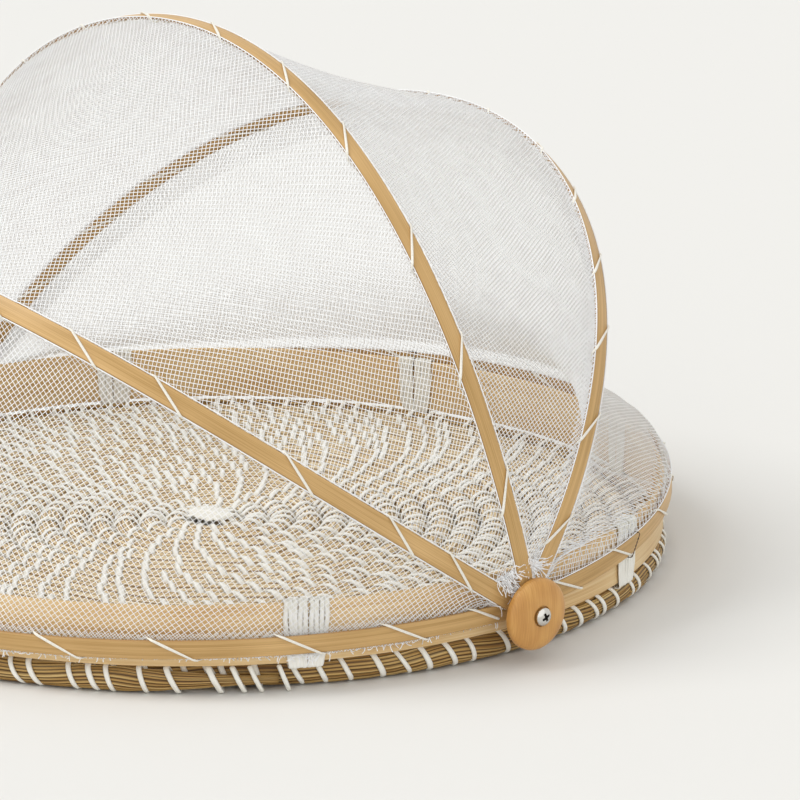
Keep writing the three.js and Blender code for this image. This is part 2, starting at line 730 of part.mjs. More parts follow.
function pivotNut(name, side) {
  const bore = screwRadius + touchGap / 2;
  const corner = nutFlats / 2 / Math.cos(Math.PI / 6);
  const hexagon = new THREE.Shape();
  const sixth = (k, radius) => [radius * Math.cos(k * Math.PI / 3), radius * Math.sin(k * Math.PI / 3)];
  hexagon.moveTo(...sixth(0, corner));
  for (let k = 1; k < 6; k += 1) hexagon.lineTo(...sixth(k, corner));
  const hole = new THREE.Path();
  hole.absarc(0, 0, bore, 0, 2 * Math.PI, true);
  hexagon.holes.push(hole);
  const settings = { depth: nutHeight, bevelEnabled: false, curveSegments: barSides };
  const nut = new THREE.ExtrudeGeometry(hexagon, settings);
  const inner = bandInnerRadius - 2 * touchGap - washerThick - nutHeight;
  nut.rotateY(side * Math.PI / 2);
  nut.translate(side * inner, 0, pivotHeight);
  place(name, nut, 'steel');
}

coiledMat();
matStitching();
rimBand();
lashingDegrees.forEach((degrees, k) => rimLashing(`rim_lashing_${k + 1}`, radians(degrees)));
hoopStrip('rear_hoop', hoops.rear);
hoopStrip('back_hoop', hoops.back);
hoopStrip('crown_hoop', hoops.crown);
hoopStrip('front_hoop', hoops.front);
hoopStrip('lip_hoop', hoops.lip);
whippingCord('rear_cord', hoops.rear);
whippingCord('back_cord', hoops.back);
whippingCord('crown_cord', hoops.crown);
whippingCord('front_cord', hoops.front);
whippingCord('lip_cord', hoops.lip);
netPanel('front_net', hoops.lip, hoops.front, netSag);
netPanel('crown_front_net', hoops.front, hoops.crown, netSag);
netPanel('crown_back_net', hoops.crown, hoops.back, netSag);
netPanel('rear_net', hoops.back, hoops.rear, slackSag);
for (let k = 0; k < tieCount; k += 1) rearHoopTie(k);
[['right', 1], ['left', -1]].forEach(([name, side]) => {
  pivotKnob(`${name}_knob`, side);
  pivotScrew(`${name}_screw`, side);
  pivotWasher(`${name}_washer`, side);
  pivotNut(`${name}_nut`, side);
});

export default cover;
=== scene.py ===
"""Round food cover: the finished surfaces of a coiled grass tray with a bamboo rim band and a
folding net canopy on five bamboo hoops. Metres, +Z up. The hoops turn about X, and the cover
opens at its front, which faces -Y."""

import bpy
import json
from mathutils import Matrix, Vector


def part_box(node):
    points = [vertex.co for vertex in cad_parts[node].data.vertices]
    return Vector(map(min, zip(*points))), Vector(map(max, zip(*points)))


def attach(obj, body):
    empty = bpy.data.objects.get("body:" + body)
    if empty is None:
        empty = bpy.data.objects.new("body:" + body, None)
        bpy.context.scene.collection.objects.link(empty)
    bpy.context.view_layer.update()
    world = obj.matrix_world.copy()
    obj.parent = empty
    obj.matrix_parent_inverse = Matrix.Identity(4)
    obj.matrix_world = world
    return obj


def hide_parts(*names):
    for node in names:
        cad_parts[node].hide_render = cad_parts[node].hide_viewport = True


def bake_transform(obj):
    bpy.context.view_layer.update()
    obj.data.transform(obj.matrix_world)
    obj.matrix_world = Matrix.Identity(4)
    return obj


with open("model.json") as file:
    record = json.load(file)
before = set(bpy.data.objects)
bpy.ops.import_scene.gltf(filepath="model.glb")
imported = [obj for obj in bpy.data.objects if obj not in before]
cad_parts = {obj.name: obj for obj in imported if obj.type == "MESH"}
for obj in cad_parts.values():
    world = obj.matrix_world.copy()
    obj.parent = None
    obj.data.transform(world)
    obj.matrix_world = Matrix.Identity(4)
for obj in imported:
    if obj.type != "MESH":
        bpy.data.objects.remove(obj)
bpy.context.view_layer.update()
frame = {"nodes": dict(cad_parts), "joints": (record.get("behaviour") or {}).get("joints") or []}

import json
import math

import bpy
import numpy as np
from mathutils import Matrix, Vector

bl_info = {
    "name": "Round food cover",
    "version": (1, 0, 0),
    "blender": (4, 5, 0),
    "location": "3D View > Sidebar > Food cover",
    "description": "Builds a coiled tray with a folding net canopy around its packed model",
    "category": "Object",
}

MM = 0.001
TURN = 2 * math.pi
SEED = 7
TINY = 1e-9
X_AXIS, Z_AXIS = np.array([1.0, 0, 0]), np.array([0, 0, 1.0])

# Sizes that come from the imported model
PIVOT_HEIGHT = frame["joints"][0]["pos_m"][2]
BAND_LOW, BAND_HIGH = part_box("rim_band")
BAND_OUTER = BAND_HIGH.x
BAND_FOOT, BAND_TOP = BAND_LOW.z, BAND_HIGH.z
COIL_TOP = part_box("coiled_mat")[1].z
KNOB_LOW, KNOB_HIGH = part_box("right_knob")
SCREW_TIP, SCREW_TOP = (corner.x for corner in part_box("right_screw"))

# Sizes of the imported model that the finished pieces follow
TOUCH_GAP = 0.3 * MM
BAND_THICK = 2.3 * MM
BAND_INNER = BAND_OUTER - BAND_THICK
COIL_START = 8.2 * MM
COIL_TURNS = 17
RIM_COIL = BAND_INNER - 2.2 * MM
COIL_SPACING = (RIM_COIL - COIL_START) / (COIL_TURNS - 1)
COIL_GAP = 1.1 * MM
COIL_WIDTH = COIL_SPACING - COIL_GAP
COIL_STEP_SHARE = 0.2
COIL_END_WIDTH = 3.2 * MM
RIM_START = COIL_TURNS - 1 - COIL_STEP_SHARE
STITCH_SWEEP = 0.9
STRIP_WIDTH = 8 * MM
STRIP_THICK = 1.6 * MM
STRIP_TAIL = 6.5 * MM
CORD_DIAMETER = 0.9 * MM
CORD_SECTION = (1.25 * MM, 0.75 * MM)
WRAP_GAP = 0.15 * MM
LASHING_DEGREES = (22.2, 70.5, 112.2, 157.2, 202.2, 247.2, 290, 333.8)
LASHING_THICK = 0.6 * MM
LASHING_OUTER = BAND_OUTER + TOUCH_GAP + LASHING_THICK
TIE_COUNT = 4
TIE_MIDDLE = 2 * MM
SCREW_RADIUS = 2 * MM
SCREW_HEAD_RADIUS = 4 * MM
SCREW_HEAD_HEIGHT = 2.4 * MM
REAR_HALF = BAND_OUTER + TOUCH_GAP + WRAP_GAP + CORD_DIAMETER + STRIP_THICK / 2
STACK_STEP = 1.25 * STRIP_THICK

# The mat: its straws, the steps that its surface is built in, and over how many turns and to
# what share of its height its end gets lower
INNER_STRAWS, RIM_STRAWS, LOOSE_STRAWS = 16, 20, 170
BUNDLE_RADIUS = 5.5 * MM
INNER_RING_STEP, INNER_RINGS_A_TURN, RIM_RINGS = 6.4 * MM, 22, 550
COIL_END_TURNS, COIL_END_SHARE = 0.05, 0.3

# The raffia: the first spokes of stitches, how many turns before the coil's end the rim's
# stitches stop, how far along a stitch draws the straws in, the knot's ribbons, and the
# lashings, whose groups are a first place, a last place (in millimetres) and a strand count
SPOKES = 14
RIM_STITCH_END = 0.07
PINCH_REACH = 2.6 * MM
STITCH_THICK, RIM_STITCH_THICK = 0.75 * MM, 0.7 * MM
KNOT_RIBBONS, KNOT_ARCH = 12, 1.6 * MM
KNOT_SECTION, LASHING_SECTION = (1.6 * MM, 0.6 * MM), (1.1 * MM, 0.4 * MM)
LASHING_DRAW, LASHING_DEPTH = 0.35, 0.34 * MM
NARROW_GROUP, WIDE_GROUP = (9.5, 3.2, 4), (0.1, -8.0, 5)

# The hoops' ring whose width isn't rounded off and the painted shade on their edges, the wire ties
# and the screws' cross recess
FULL_WIDTH_RING = 20
EDGE_PAINTED_SHADE = 0.55
TIE_RADIUS, TIE_OFFSET, TIE_TWIST, TIE_LEAN = 0.17 * MM, 0.15 * MM, 2.6 * MM, 4.5 * MM
CROSS_TURN, CROSS_DEPTH = math.radians(24), 1.3 * MM

# The cord: half of a crossing's length, how much further the next two corners lie from the
# crossing's middle, its plies, how much further it stands off the lip hoop inside, and how
# many millimetres from the pivots each cord starts and ends
CORD_SLANT, CORD_EDGE, CORD_BACK = 9 * MM, 1.2 * MM, 2.6 * MM
CORD_PLIES = 6
LIP_CORD_SLACK = 0.9 * MM
CORD_STARTS = {"rear": 22, "lip": 12, "back": 22, "front": 24, "crown": 24}

# The net: spacings from one ring of a thread to the next, how far each yarn lies from the
# thread's middle in yarn radii, how far threads wander, the shortest stretch that is built and
# the step that directions are taken over. Then the radii of the edge thread, the frays and the
# gathered ends, how far from the pivots the frays start, and how many there are
RING_STEP = 1.5
YARN_DEPTH = 0.8
WANDER = 0.25 * MM
SHORTEST = 0.03 * MM
NUDGE = 0.3 * MM
EDGE_THREAD, FRAY_THREAD, END_THREAD = 0.26 * MM, 0.22 * MM, 0.2 * MM
FRAY_ENDS, FRAY_CLUSTERS = 0.09, 12
PIVOT_ENDS, CROWN_ENDS = 70, 80


def linear(hex_colour):
    """An sRGB hex value as a linear colour with alpha."""
    channels = [int(hex_colour[i:i + 2], 16) / 255 for i in (1, 3, 5)]
    bent = [c / 12.92 if c <= 0.04045 else ((c + 0.055) / 1.055) ** 2.4 for c in channels]
    return (*bent, 1.0)


class Hoop:
    """One bent strip: its layer on the screws, its reach past the band, its angle up from the
    front at the pivot, the angle that it bows back in the middle, and where its cord crosses
    its outer face, in millimetres from the near pivot."""

    def __init__(self, layer, past, angle, bow, crossings, pitch):
        self.half = REAR_HALF + layer * STACK_STEP
        self.reach = BAND_OUTER + past * MM
        self.angle = math.radians(angle)
        self.bow = math.radians(bow)
        self.crossings = np.array(crossings) * MM
        self.pitch = pitch * MM


HOOPS = {
    "rear": Hoop(0, 4.1, 175.7, 0, (32.5, 77.5, 132), 48),
    "lip": Hoop(1, 5.6, -0.4, 0, (16.5, 58, 104.5, 158, 207), 49),
    "back": Hoop(2, 11.1, 126.6, 3.7, (39, 89, 136, 180.5, 231, 276, 329), 48),
    "front": Hoop(3, 7.5, 33.6, 5.2, (42, 75, 126.5, 189.5, 231.5), 50),
    "crown": Hoop(5, 12.2, 76.7, 9.5, (57, 117, 170, 230.5, 280, 334.5), 55),
}
BODIES = {
    "rear": "tray", "back": "back_frame", "crown": "crown_frame",
    "front": "front_frame", "lip": "lip_frame",
}


# Shapes as arrays of points

def unit(vectors):
    """Vectors scaled to length 1."""
    return vectors / np.maximum(np.linalg.norm(vectors, axis=-1, keepdims=True), 1e-12)


def square_to(vectors, forward):
    """Vectors without their part along forward, scaled to length 1."""
    return unit(vectors - forward * np.sum(vectors * forward, -1, keepdims=True))


def run_of(points, closed=False):
    """The length of a line of points up to each one, and on round to the first where the line
    is closed."""
    if closed:
        points = np.concatenate([points, points[:1]])
    steps = np.linalg.norm(np.diff(points, axis=0), axis=-1)
    return np.concatenate([[0], np.cumsum(steps)])


def circle(corners, start=0.0):
    """Points at even angles round a circle of radius 1."""
    angles = start + np.arange(corners) * TURN / corners
    return np.stack([np.cos(angles), np.sin(angles)], -1)


def polar(out, angle, up):
    """Points given by their distance from the Z axis, their angle round it and their height."""
    return np.stack(np.broadcast_arrays(out * np.cos(angle), out * np.sin(angle), up), -1)


def round_axis(angle):
    """The direction that leads round the Z axis at an angle."""
    return np.stack([-np.sin(angle), np.cos(angle), np.zeros_like(angle)], -1)


def ring_forward(paths):
    """The direction along closed paths (copies, points, 3) at each point."""
    return unit(np.roll(paths, -1, 1) - np.roll(paths, 1, 1))


def smoothstep(x, low, high):
    """Rises from 0 at low to 1 at high as 3 p squared minus 2 p cubed."""
    p = np.clip((x - low) / (high - low), 0, 1)
    return p * p * (3 - 2 * p)


def waves(x, rng, count, longest):
    """A smooth wandering value near -1 to 1: a sum of sines of falling wavelength."""
    total = np.zeros_like(x, dtype=float)
    for k in range(1, count + 1):
        total += np.sin(TURN * (x * k / longest + rng.random())) / k
    return total / 1.5


class Surface:
    """Points (n, 3), faces as arrays of corner numbers, a UV pair in metres for each face
    corner, and named values for each point."""

    def __init__(self, points, faces, uvs, **values):
        self.points, self.faces, self.uvs, self.values = points, faces, uvs, values
        triangles = [np.stack([f[:, 0], f[:, k], f[:, k + 1]], -1)
                     for f in faces for k in range(1, f.shape[1] - 1)]
        a, b, c = points[np.concatenate(triangles)].transpose(1, 0, 2)
        if np.einsum("ij,ij->", a, np.cross(b, c)) < 0:
            self.faces = [f[:, ::-1] for f in faces]
            self.uvs = [uv[:, ::-1] for uv in uvs]


def skin(grid, along=None, around=None, rows_closed=False, **values):
    """The faces of a grid of points (copies, rings, corners, 3), whose rings are closed and
    whose ends are capped unless rows_closed joins the last ring to the first."""
    copies, rings, corners, _ = grid.shape
    number = np.arange(copies * rings * corners).reshape(copies, rings, corners)
    if along is None:
        middle = grid.mean(2)
        steps = np.linalg.norm(np.diff(middle, axis=1), axis=-1)
        along = np.concatenate([np.zeros((copies, 1)), np.cumsum(steps, 1)], 1)
    if around is None:
        around = np.arange(corners + 1) * np.linalg.norm(grid[0, 0, 0] - grid[0, 0, 1])
    along = np.broadcast_to(along, (copies, rings))
    last = rings if rows_closed else rings - 1
    ahead = np.roll(number, -1, 1)[:, :last]
    here = number[:, :last]
    aside, ahead_aside = np.roll(here, -1, 2), np.roll(ahead, -1, 2)
    quads = np.stack([here, aside, ahead_aside, ahead], -1).reshape(-1, 4)
    u = np.concatenate([along, along[:, -1:] * 2 - along[:, -2:-1]], 1)
    u0 = np.broadcast_to(u[:, :last, None], here.shape)
    u1 = np.broadcast_to(u[:, 1:last + 1, None], here.shape)
    v0 = np.broadcast_to(around[:-1], here.shape)
    v1 = np.broadcast_to(around[1:], here.shape)
    uv = np.stack([np.stack([u0, v0], -1), np.stack([u0, v1], -1),
                   np.stack([u1, v1], -1), np.stack([u1, v0], -1)], -2).reshape(-1, 4, 2)
    faces, uvs = [quads], [uv]
    if not rows_closed:
        for ring, order, u_end in ((0, -1, along[:, 0]), (rings - 1, 1, along[:, -1])):
            cap = number[:, ring, ::order]
            faces.append(cap)
            cap_v = around[:-1][::order]
            uvs.append(np.stack([np.broadcast_to(u_end[:, None], cap.shape),
                                 np.broadcast_to(cap_v, cap.shape)], -1))
    flat = {name: np.broadcast_to(value, (copies, rings, corners)).ravel()
            for name, value in values.items()}
    return Surface(grid.reshape(-1, 3), faces, uvs, **flat)


def sweep(centre, side, up, section, **settings):
    """Carries a section along paths: each point is centre + side times x + up times y, where
    (x, y) runs round the section. Paths are (copies, rings, 3)."""
    x, y = section[..., 0:1], section[..., 1:2]
    return skin(centre[:, :, None] + side[:, :, None] * x + up[:, :, None] * y, **settings)


def joined(surfaces):
    """Several surfaces as one, their points one after another."""
    starts = np.cumsum([0] + [len(s.points) for s in surfaces])
    faces = [f + start for s, start in zip(surfaces, starts) for f in s.faces]
    uvs = [uv for s in surfaces for uv in s.uvs]
    names = set().union(*(s.values for s in surfaces))
    whole = Surface(np.concatenate([s.points for s in surfaces]), faces, uvs)
    whole.values = {name: np.concatenate([s.values.get(name, np.zeros(len(s.points)))
                                          for s in surfaces]) for name in names}
    return whole


def piece(name, surface, material, sharp=None):
    """A mesh object at the origin that holds a surface. Edges sharper than sharp degrees
    stay hard."""
    mesh = bpy.data.meshes.new(name)
    corners = np.concatenate([f.ravel() for f in surface.faces]).astype(np.int32)
    sides = np.concatenate([np.full(len(f), f.shape[1]) for f in surface.faces])
    mesh.vertices.add(len(surface.points))
    mesh.vertices.foreach_set("co", surface.points.astype(np.float32).ravel())
    mesh.loops.add(len(corners))
    mesh.loops.foreach_set("vertex_index", corners)
    mesh.polygons.add(len(sides))
    mesh.polygons.foreach_set("loop_start", (np.cumsum(sides) - sides).astype(np.int32))
    layer = mesh.uv_layers.new(name="surface")
    uv = np.concatenate([part.reshape(-1, 2) for part in surface.uvs]).astype(np.float32)
    layer.data.foreach_set("uv", uv.ravel())
    for key, value in surface.values.items():
        attribute = mesh.attributes.new(key, "FLOAT", "POINT")
        attribute.data.foreach_set("value", value.astype(np.float32))
    mesh.update(calc_edges=True)
    mesh.shade_smooth()
    if sharp:
        mesh.set_sharp_from_angle(angle=math.radians(sharp))
    mesh.materials.append(material)
    made = bpy.data.objects.new(name, mesh)
    bpy.context.collection.objects.link(made)
    return made


def settle(made, body, slot, *nodes):
    """Lets a piece ride on its body and hides the nodes that it stands for. slot is not used."""
    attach(made, body)
    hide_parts(*nodes)
    return made


def rounded_section(width, height, radius, arc):
    """A rectangle with round corners, anticlockwise from the middle of its right side."""
    angles = np.linspace(0, math.pi / 2, arc)
    corner = np.stack([np.cos(angles), np.sin(angles)], -1) * radius
    x, y = width / 2 - radius, height / 2 - radius
    quarters = [corner + (x, y)]
    quarters.append((corner[::-1] * (-1, 1)) + (-x, y))
    quarters.append(-corner - (x, y))
    quarters.append((corner[::-1] * (1, -1)) + (x, -y))
    return np.concatenate(quarters)


def lathe(profile, side, steps):
    """A profile of (radius, place along X) turned about the pivot axis. side is +1 or -1 for
    the end of the axis."""
    radius, along = np.array(profile).T[..., None]
    y, z = circle(steps).T
    return np.stack(np.broadcast_arrays(
        side * along, radius * y, PIVOT_HEIGHT + radius * z), -1)[None]


# Hoops

def hoop_centre(hoop, t):
    """A hoop's centre line: half-width times cos t along X, and reach times sin t out along a
    spoke that leans up from the front by the hoop's angle plus its bow times sin t."""
    lean = hoop.angle + hoop.bow * np.sin(t)
    out = hoop.reach * np.sin(t)
    return np.stack([hoop.half * np.cos(t), -out * np.cos(lean),
                     PIVOT_HEIGHT + out * np.sin(lean)], -1)


def hoop_frame(hoop, t):
    """The centre line with its directions along the strip, out through its flat face and
    across its width."""
    nudge = 1e-3
    centre = hoop_centre(hoop, t)
    forward = unit(hoop_centre(hoop, t + nudge) - hoop_centre(hoop, t - nudge))
    lean = hoop.angle + hoop.bow * np.sin(t)
    spoke = np.stack([np.zeros_like(lean), -np.cos(lean), np.sin(lean)], -1)
    out = spoke * (np.sin(t) / hoop.reach)[..., None]
    out[..., 0] += np.cos(t) / hoop.half
    out = square_to(out, forward)
    return centre, forward, out, np.cross(out, forward)


def hoop_lengths(hoop):
    """Even steps of a hoop's angle, and the length of strip up to each."""
    t = np.linspace(0, math.pi, 1200)
    return t, run_of(hoop_centre(hoop, t))


def offset(place, outward, sideways):
    """Points beside a hoop's centre line, out through its flat face and across its width."""
    centre, _, out, across = place
    outward, sideways = np.asarray(outward), np.asarray(sideways)
    return centre + out * outward[..., None] + across * sideways[..., None]


# Materials

def fill(tree, node, inputs):
    """Gives a node's sockets their values, or links them from other sockets."""
    for name, value in inputs.items():
        if isinstance(value, bpy.types.NodeSocket):
            tree.links.new(value, node.inputs[name])
        else:
            node.inputs[name].default_value = value


def add(tree, kind, inputs=None, **settings):
    """Adds one node with its own settings and its sockets' inputs."""
    made = tree.nodes.new(kind)
    for name, value in settings.items():
        setattr(made, name, value)
    fill(tree, made, inputs or {})
    return made


def ramp(tree, factor, *stops):
    """A colour ramp with (place, hex colour) stops."""
    made = add(tree, "ShaderNodeValToRGB", {"Fac": factor})
    elements = made.color_ramp.elements
    while len(elements) < len(stops):
        elements.new(0.5)
    for element, (place, colour) in zip(elements, stops):
        element.position = place
        element.color = linear(colour) if isinstance(colour, str) else (*colour, 1.0)
    return made.outputs["Color"]


def new_material(name):
    """An empty node material with its shader."""
    material = bpy.data.materials.new(name)
    material.use_nodes = True
    tree = material.node_tree
    tree.nodes.clear()
    shader = add(tree, "ShaderNodeBsdfPrincipled")
    output = add(tree, "ShaderNodeOutputMaterial")
    tree.links.new(shader.outputs[0], output.inputs["Surface"])
    return material, tree, shader


def noise(tree, vector, cells, detail=2.0, roughness=0.5):
    """Noise whose cells have these sizes in millimetres along the first axes of a vector."""
    scale = [1 / (size * MM) for size in cells] + [1] * (3 - len(cells))
    mapped = add(tree, "ShaderNodeMapping", {"Vector": vector, "Scale": scale})
    made = add(tree, "ShaderNodeTexNoise", {
        "Vector": mapped.outputs[0], "Scale": 1.0, "Detail": detail, "Roughness": roughness})
    return made.outputs["Fac"]


def weighted_sum(tree, *terms):
    """The sum of (value, weight) terms."""
    total = 0.0
    for value, weight in terms:
        total = add(tree, "ShaderNodeMath", {0: value, 1: weight, 2: total},
                    operation="MULTIPLY_ADD").outputs[0]
    return total


def point_value(tree, name):
    """A named value of the mesh's points."""
    return add(tree, "ShaderNodeAttribute", attribute_name=name).outputs["Fac"]


def object_place(tree):
    """The place on the object, in metres."""
    return add(tree, "ShaderNodeTexCoord").outputs["Object"]


def surface_uv(tree):
    """The length along the surface and round it, in metres."""
    return add(tree, "ShaderNodeUVMap", uv_map="surface").outputs[0]


def mixed(tree, factor, a, b):
    """Two colours, each a socket or a hex value, mixed by a factor."""
    a, b = (linear(colour) if isinstance(colour, str) else colour for colour in (a, b))
    return add(tree, "ShaderNodeMix", {0: factor, 6: a, 7: b}, data_type="RGBA").outputs[2]


def bump(tree, height, depth, strength=0.6):
    """A normal bumped by a height, whose depth is in millimetres."""
    return add(tree, "ShaderNodeBump", {
        "Height": height, "Distance": depth * MM, "Strength": strength}).outputs[0]


def set_sockets(tree, shader, **values):
    """Sets or links the shader's own sockets, with _ for a space in their names."""
    fill(tree, shader, {name.replace("_", " "): value for name, value in values.items()})


def grass_material(name, painted_groove_shade, *tones):
    """Dried grass straw, laid in a bundle and sewn tight: each straw has its own tone, from straw
    yellow to brown, with a waxy sheen along it and painted shade in the grooves between straws."""
    material, tree, shader = new_material(name)
    uv = surface_uv(tree)
    tone = noise(tree, uv, (60, 1.1), 1.5)
    fibre = noise(tree, uv, (18, 0.3))
    both = weighted_sum(tree, (tone, 0.75), (fibre, 0.25))
    straw = ramp(tree, both, *zip((0.30, 0.42, 0.53, 0.64, 0.75), tones))
    # painted shade: the groove colour darkens the grooves between straws
    colour = mixed(tree, point_value(tree, "groove"), straw, painted_groove_shade)
    set_sockets(tree, shader, Base_Color=colour, Roughness=0.52, Specular_IOR_Level=0.35,
                Normal=bump(tree, fibre, 0.15))
    return material


def raffia_material():
    """Bleached raffia, a flat split leaf: matt, off-white, with fine lengthwise ribs."""
    material, tree, shader = new_material("bleached_raffia")
    uv = surface_uv(tree)
    ribs = noise(tree, uv, (15, 0.35))
    patch = noise(tree, uv, (12, 3), 1.0)
    tint = ramp(tree, patch, (0.3, "#EAE7DB"), (0.5, "#F6F4EC"), (0.7, "#FBFAF6"))
    ribbed = mixed(tree, ramp(tree, ribs, (0.38, "#404040"), (0.6, "#000000")), tint, "#D8D1BF")
    set_sockets(tree, shader, Base_Color=ribbed, Roughness=0.62, Normal=bump(tree, ribs, 0.12))
    return material


def bamboo_material(name, dark, middle, pale, edge=None):
    """Split bamboo strip, scraped and lacquered thin: straight grain of darker fibre bundles under
    half a millimetre wide in a pale ground, with a satin skin. An edge colour, if given, is
    painted shade on the strip's edges."""
    material, tree, shader = new_material(name)
    uv = surface_uv(tree)
    bundles = noise(tree, uv, (70, 0.45), 3.0, 0.6)
    streaks = noise(tree, uv, (160, 2.4))
    mottle = noise(tree, uv, (45, 20), 1.0)
    grain = weighted_sum(tree, (bundles, 0.42), (streaks, 0.33), (mottle, 0.25))
    wood = ramp(tree, grain, (0.36, dark), (0.49, middle), (0.62, pale))
    # painted shade: the edge colour darkens the strip's long edges by the point value edge
    if edge:
        wood = mixed(tree, point_value(tree, "edge"), wood, edge)
    set_sockets(tree, shader, Base_Color=wood, Roughness=0.42, Specular_IOR_Level=0.4,
                Normal=bump(tree, bundles, 0.08, 0.5))
    return material


def cord_material():
    """Twisted cotton cord: matt, off-white, with slanting plies as its surface shows."""
    material, tree, shader = new_material("twisted_cotton_cord")
    uv = surface_uv(tree)
    fuzz = noise(tree, uv, (1.2, 0.3))
    set_sockets(tree, shader, Base_Color=ramp(tree, fuzz, (0.3, "#E0DCCF"), (0.6, "#F4F1E8")),
                Roughness=0.8, Sheen_Weight=0.15, Normal=bump(tree, fuzz, 0.08))
    return material


def net_material():
    """Knitted polyester net: fine white yarn with a faint gloss, a little duller in places."""
    material, tree, shader = new_material("knitted_polyester_net")
    patch = noise(tree, object_place(tree), (9, 9, 9))
    set_sockets(tree, shader, Base_Color=ramp(tree, patch, (0.35, "#F6F6F7"), (0.65, "#FCFDFE")),
                Roughness=0.6, Specular_IOR_Level=0.3)
    return material


def knob_material():
    """Lacquered turned rubberwood: honey coloured, faint straight grain, satin lacquer."""
    material, tree, shader = new_material("lacquered_rubberwood")
    place = object_place(tree)
    grain = noise(tree, place, (3, 0.5, 14), 3.0)
    cloud = noise(tree, place, (10, 9, 16), 1.0)
    both = weighted_sum(tree, (grain, 0.5), (cloud, 0.5))
    wood = ramp(tree, both, (0.30, "#B67F3C"), (0.5, "#C8914A"), (0.70, "#D8A55C"))
    set_sockets(tree, shader, Base_Color=wood, Roughness=0.36, Coat_Weight=0.15,
                Coat_Roughness=0.3, Normal=bump(tree, grain, 0.03, 0.4))
    return material


def steel_material():
    """Nickel plated steel: bright and smooth, with faint handling marks in its gloss, and a dull,
    dark painted shade in the cross recess."""
    material, tree, shader = new_material("nickel_plated_steel")
    marks = noise(tree, object_place(tree), (0.8, 0.8, 0.8), 3.0)
    gloss = add(tree, "ShaderNodeMapRange", {0: marks, 3: 0.14, 4: 0.3}).outputs[0]
    # painted shade: the cross recess is near black
    colour = mixed(tree, point_value(tree, "recess"), "#D2D0CB", "#2B2926")
    set_sockets(tree, shader, Base_Color=colour, Metallic=1.0, Roughness=gloss)
    return material


def wire_material():
    """Annealed iron binding wire: dark, dull, with a brown oxide in patches."""
    material, tree, shader = new_material("annealed_iron_wire")
    patch = noise(tree, object_place(tree), (2, 2, 2))
    set_sockets(tree, shader, Base_Color=ramp(tree, patch, (0.35, "#4E453B"), (0.65, "#85725E")),
                Metallic=0.7, Roughness=0.5)
    return material


# Coiled mat

def coil_radius(turn):
    """Centre line of the coil: it grows steadily near the middle, and further out each turn
    is nearer a circle with a step in the last part of the turn."""
    whole = np.floor(turn)
    part = turn - whole
    step = smoothstep(part, 1 - COIL_STEP_SHARE, 1)
    share = part + (step - part) * turn / COIL_TURNS
    return COIL_START + COIL_SPACING * (whole + share)


def coil_line(turn):
    """Radius and width of the coil at each turn. The last turn thins out to nothing where the
    turn inside it steps out."""
    in_rim = turn > COIL_TURNS - 1
    room = np.where(in_rim, RIM_COIL - coil_radius(turn - 1) - COIL_GAP, COIL_WIDTH)
    width = np.minimum(COIL_WIDTH, room)
    radius = np.where(in_rim, RIM_COIL + (COIL_WIDTH - width) / 2, coil_radius(turn))
    return radius, width


def coil_length(turns):
    """The length of the coil up to each of these turns."""
    radius, _ = coil_line(turns)
    steps = np.hypot(np.diff(radius), np.diff(TURN * turns) * radius[:-1])
    return np.concatenate([[0], np.cumsum(steps)])


def straw_bundle(turns, straws, rng, pinch_turns=None):
    """The coil's bundle of straws: a round section of ridges carried along the spiral. Each
    straw is two shoulders and a groove, which drift round the bundle as it goes. The rim's
    bundle is also drawn in at each stitch, bulges between them and gets lower at its end."""
    radius, width = coil_line(turns)
    corners = 3 * straws
    along = coil_length(turns)
    drift = 0.5 * waves(along, rng, 5, 240 * MM)
    base = np.arange(corners) * TURN / corners
    jitter = np.repeat(rng.uniform(-0.25, 0.25, straws), 3) * TURN / straws
    around = base + jitter + drift[:, None]
    groove = np.tile([1.0, 0.0, 0.0], straws)
    depth = np.repeat(rng.uniform(0.25, 0.6, straws), 3) * groove * MM
    lift = np.repeat(rng.uniform(-0.25, 0.15, straws), 3) * MM
    swell = 0.02 * waves(along, rng, 6, 60 * MM)
    lowered = np.ones_like(turns)
    if pinch_turns is not None:
        reach = np.abs(turns[:, None] - pinch_turns[None, :]).min(1) * TURN * radius
        swell = swell - 0.055 * np.exp(-(reach / PINCH_REACH) ** 2) + 0.02
        lowered = COIL_END_SHARE + (1 - COIL_END_SHARE) * smoothstep(
            turns[-1] - turns, 0, COIL_END_TURNS)
    semi_width = (width / 2 - 0.45 * MM)[:, None] * (1 + swell[:, None])
    semi_height = (COIL_TOP / 2 - 0.65 * MM) * (1 + swell[:, None]) * lowered[:, None]
    inset = (depth - lift)[None, :]
    out = radius[:, None] + (semi_width - inset) * np.cos(around)
    up = COIL_TOP / 2 + (semi_height - inset) * np.sin(around)
    arc = np.arange(corners + 1) * (TURN * BUNDLE_RADIUS / corners)
    # groove also marks the points where the grass material paints shade between straws
    return skin(polar(out, TURN * turns[:, None], up)[None], along=along[None], around=arc,
                groove=groove)


def stitch_places(rng):
    """The turn and angle of each stitch: spokes lean round on their way out, and new ones
    start between them where they have spread too far."""
    turns, angles = [], []
    step = TURN / SPOKES
    for per, start, shift in ((1, 0, 0.0), (1, 2, 0.5), (2, 5, 0.25), (4, 10, 0.125)):
        for k in range(per * SPOKES):
            base = (k // per) * step + shift * step + (k % per) * step / per
            begin = max(0, start + int(rng.integers(-1, 2))) if start else 0
            wander = rng.uniform(-0.02, 0.02)
            for ring in range(begin, COIL_TURNS):
                radius = COIL_START + COIL_SPACING * (ring + 0.45)
                lean = STITCH_SWEEP * radius / RIM_COIL
                jitter = rng.normal(0, 0.6 * MM) / max(radius, 12 * MM)
                turns.append(ring)
                angles.append((base + wander + lean + jitter) % TURN)
    return np.array(turns), np.array(angles)


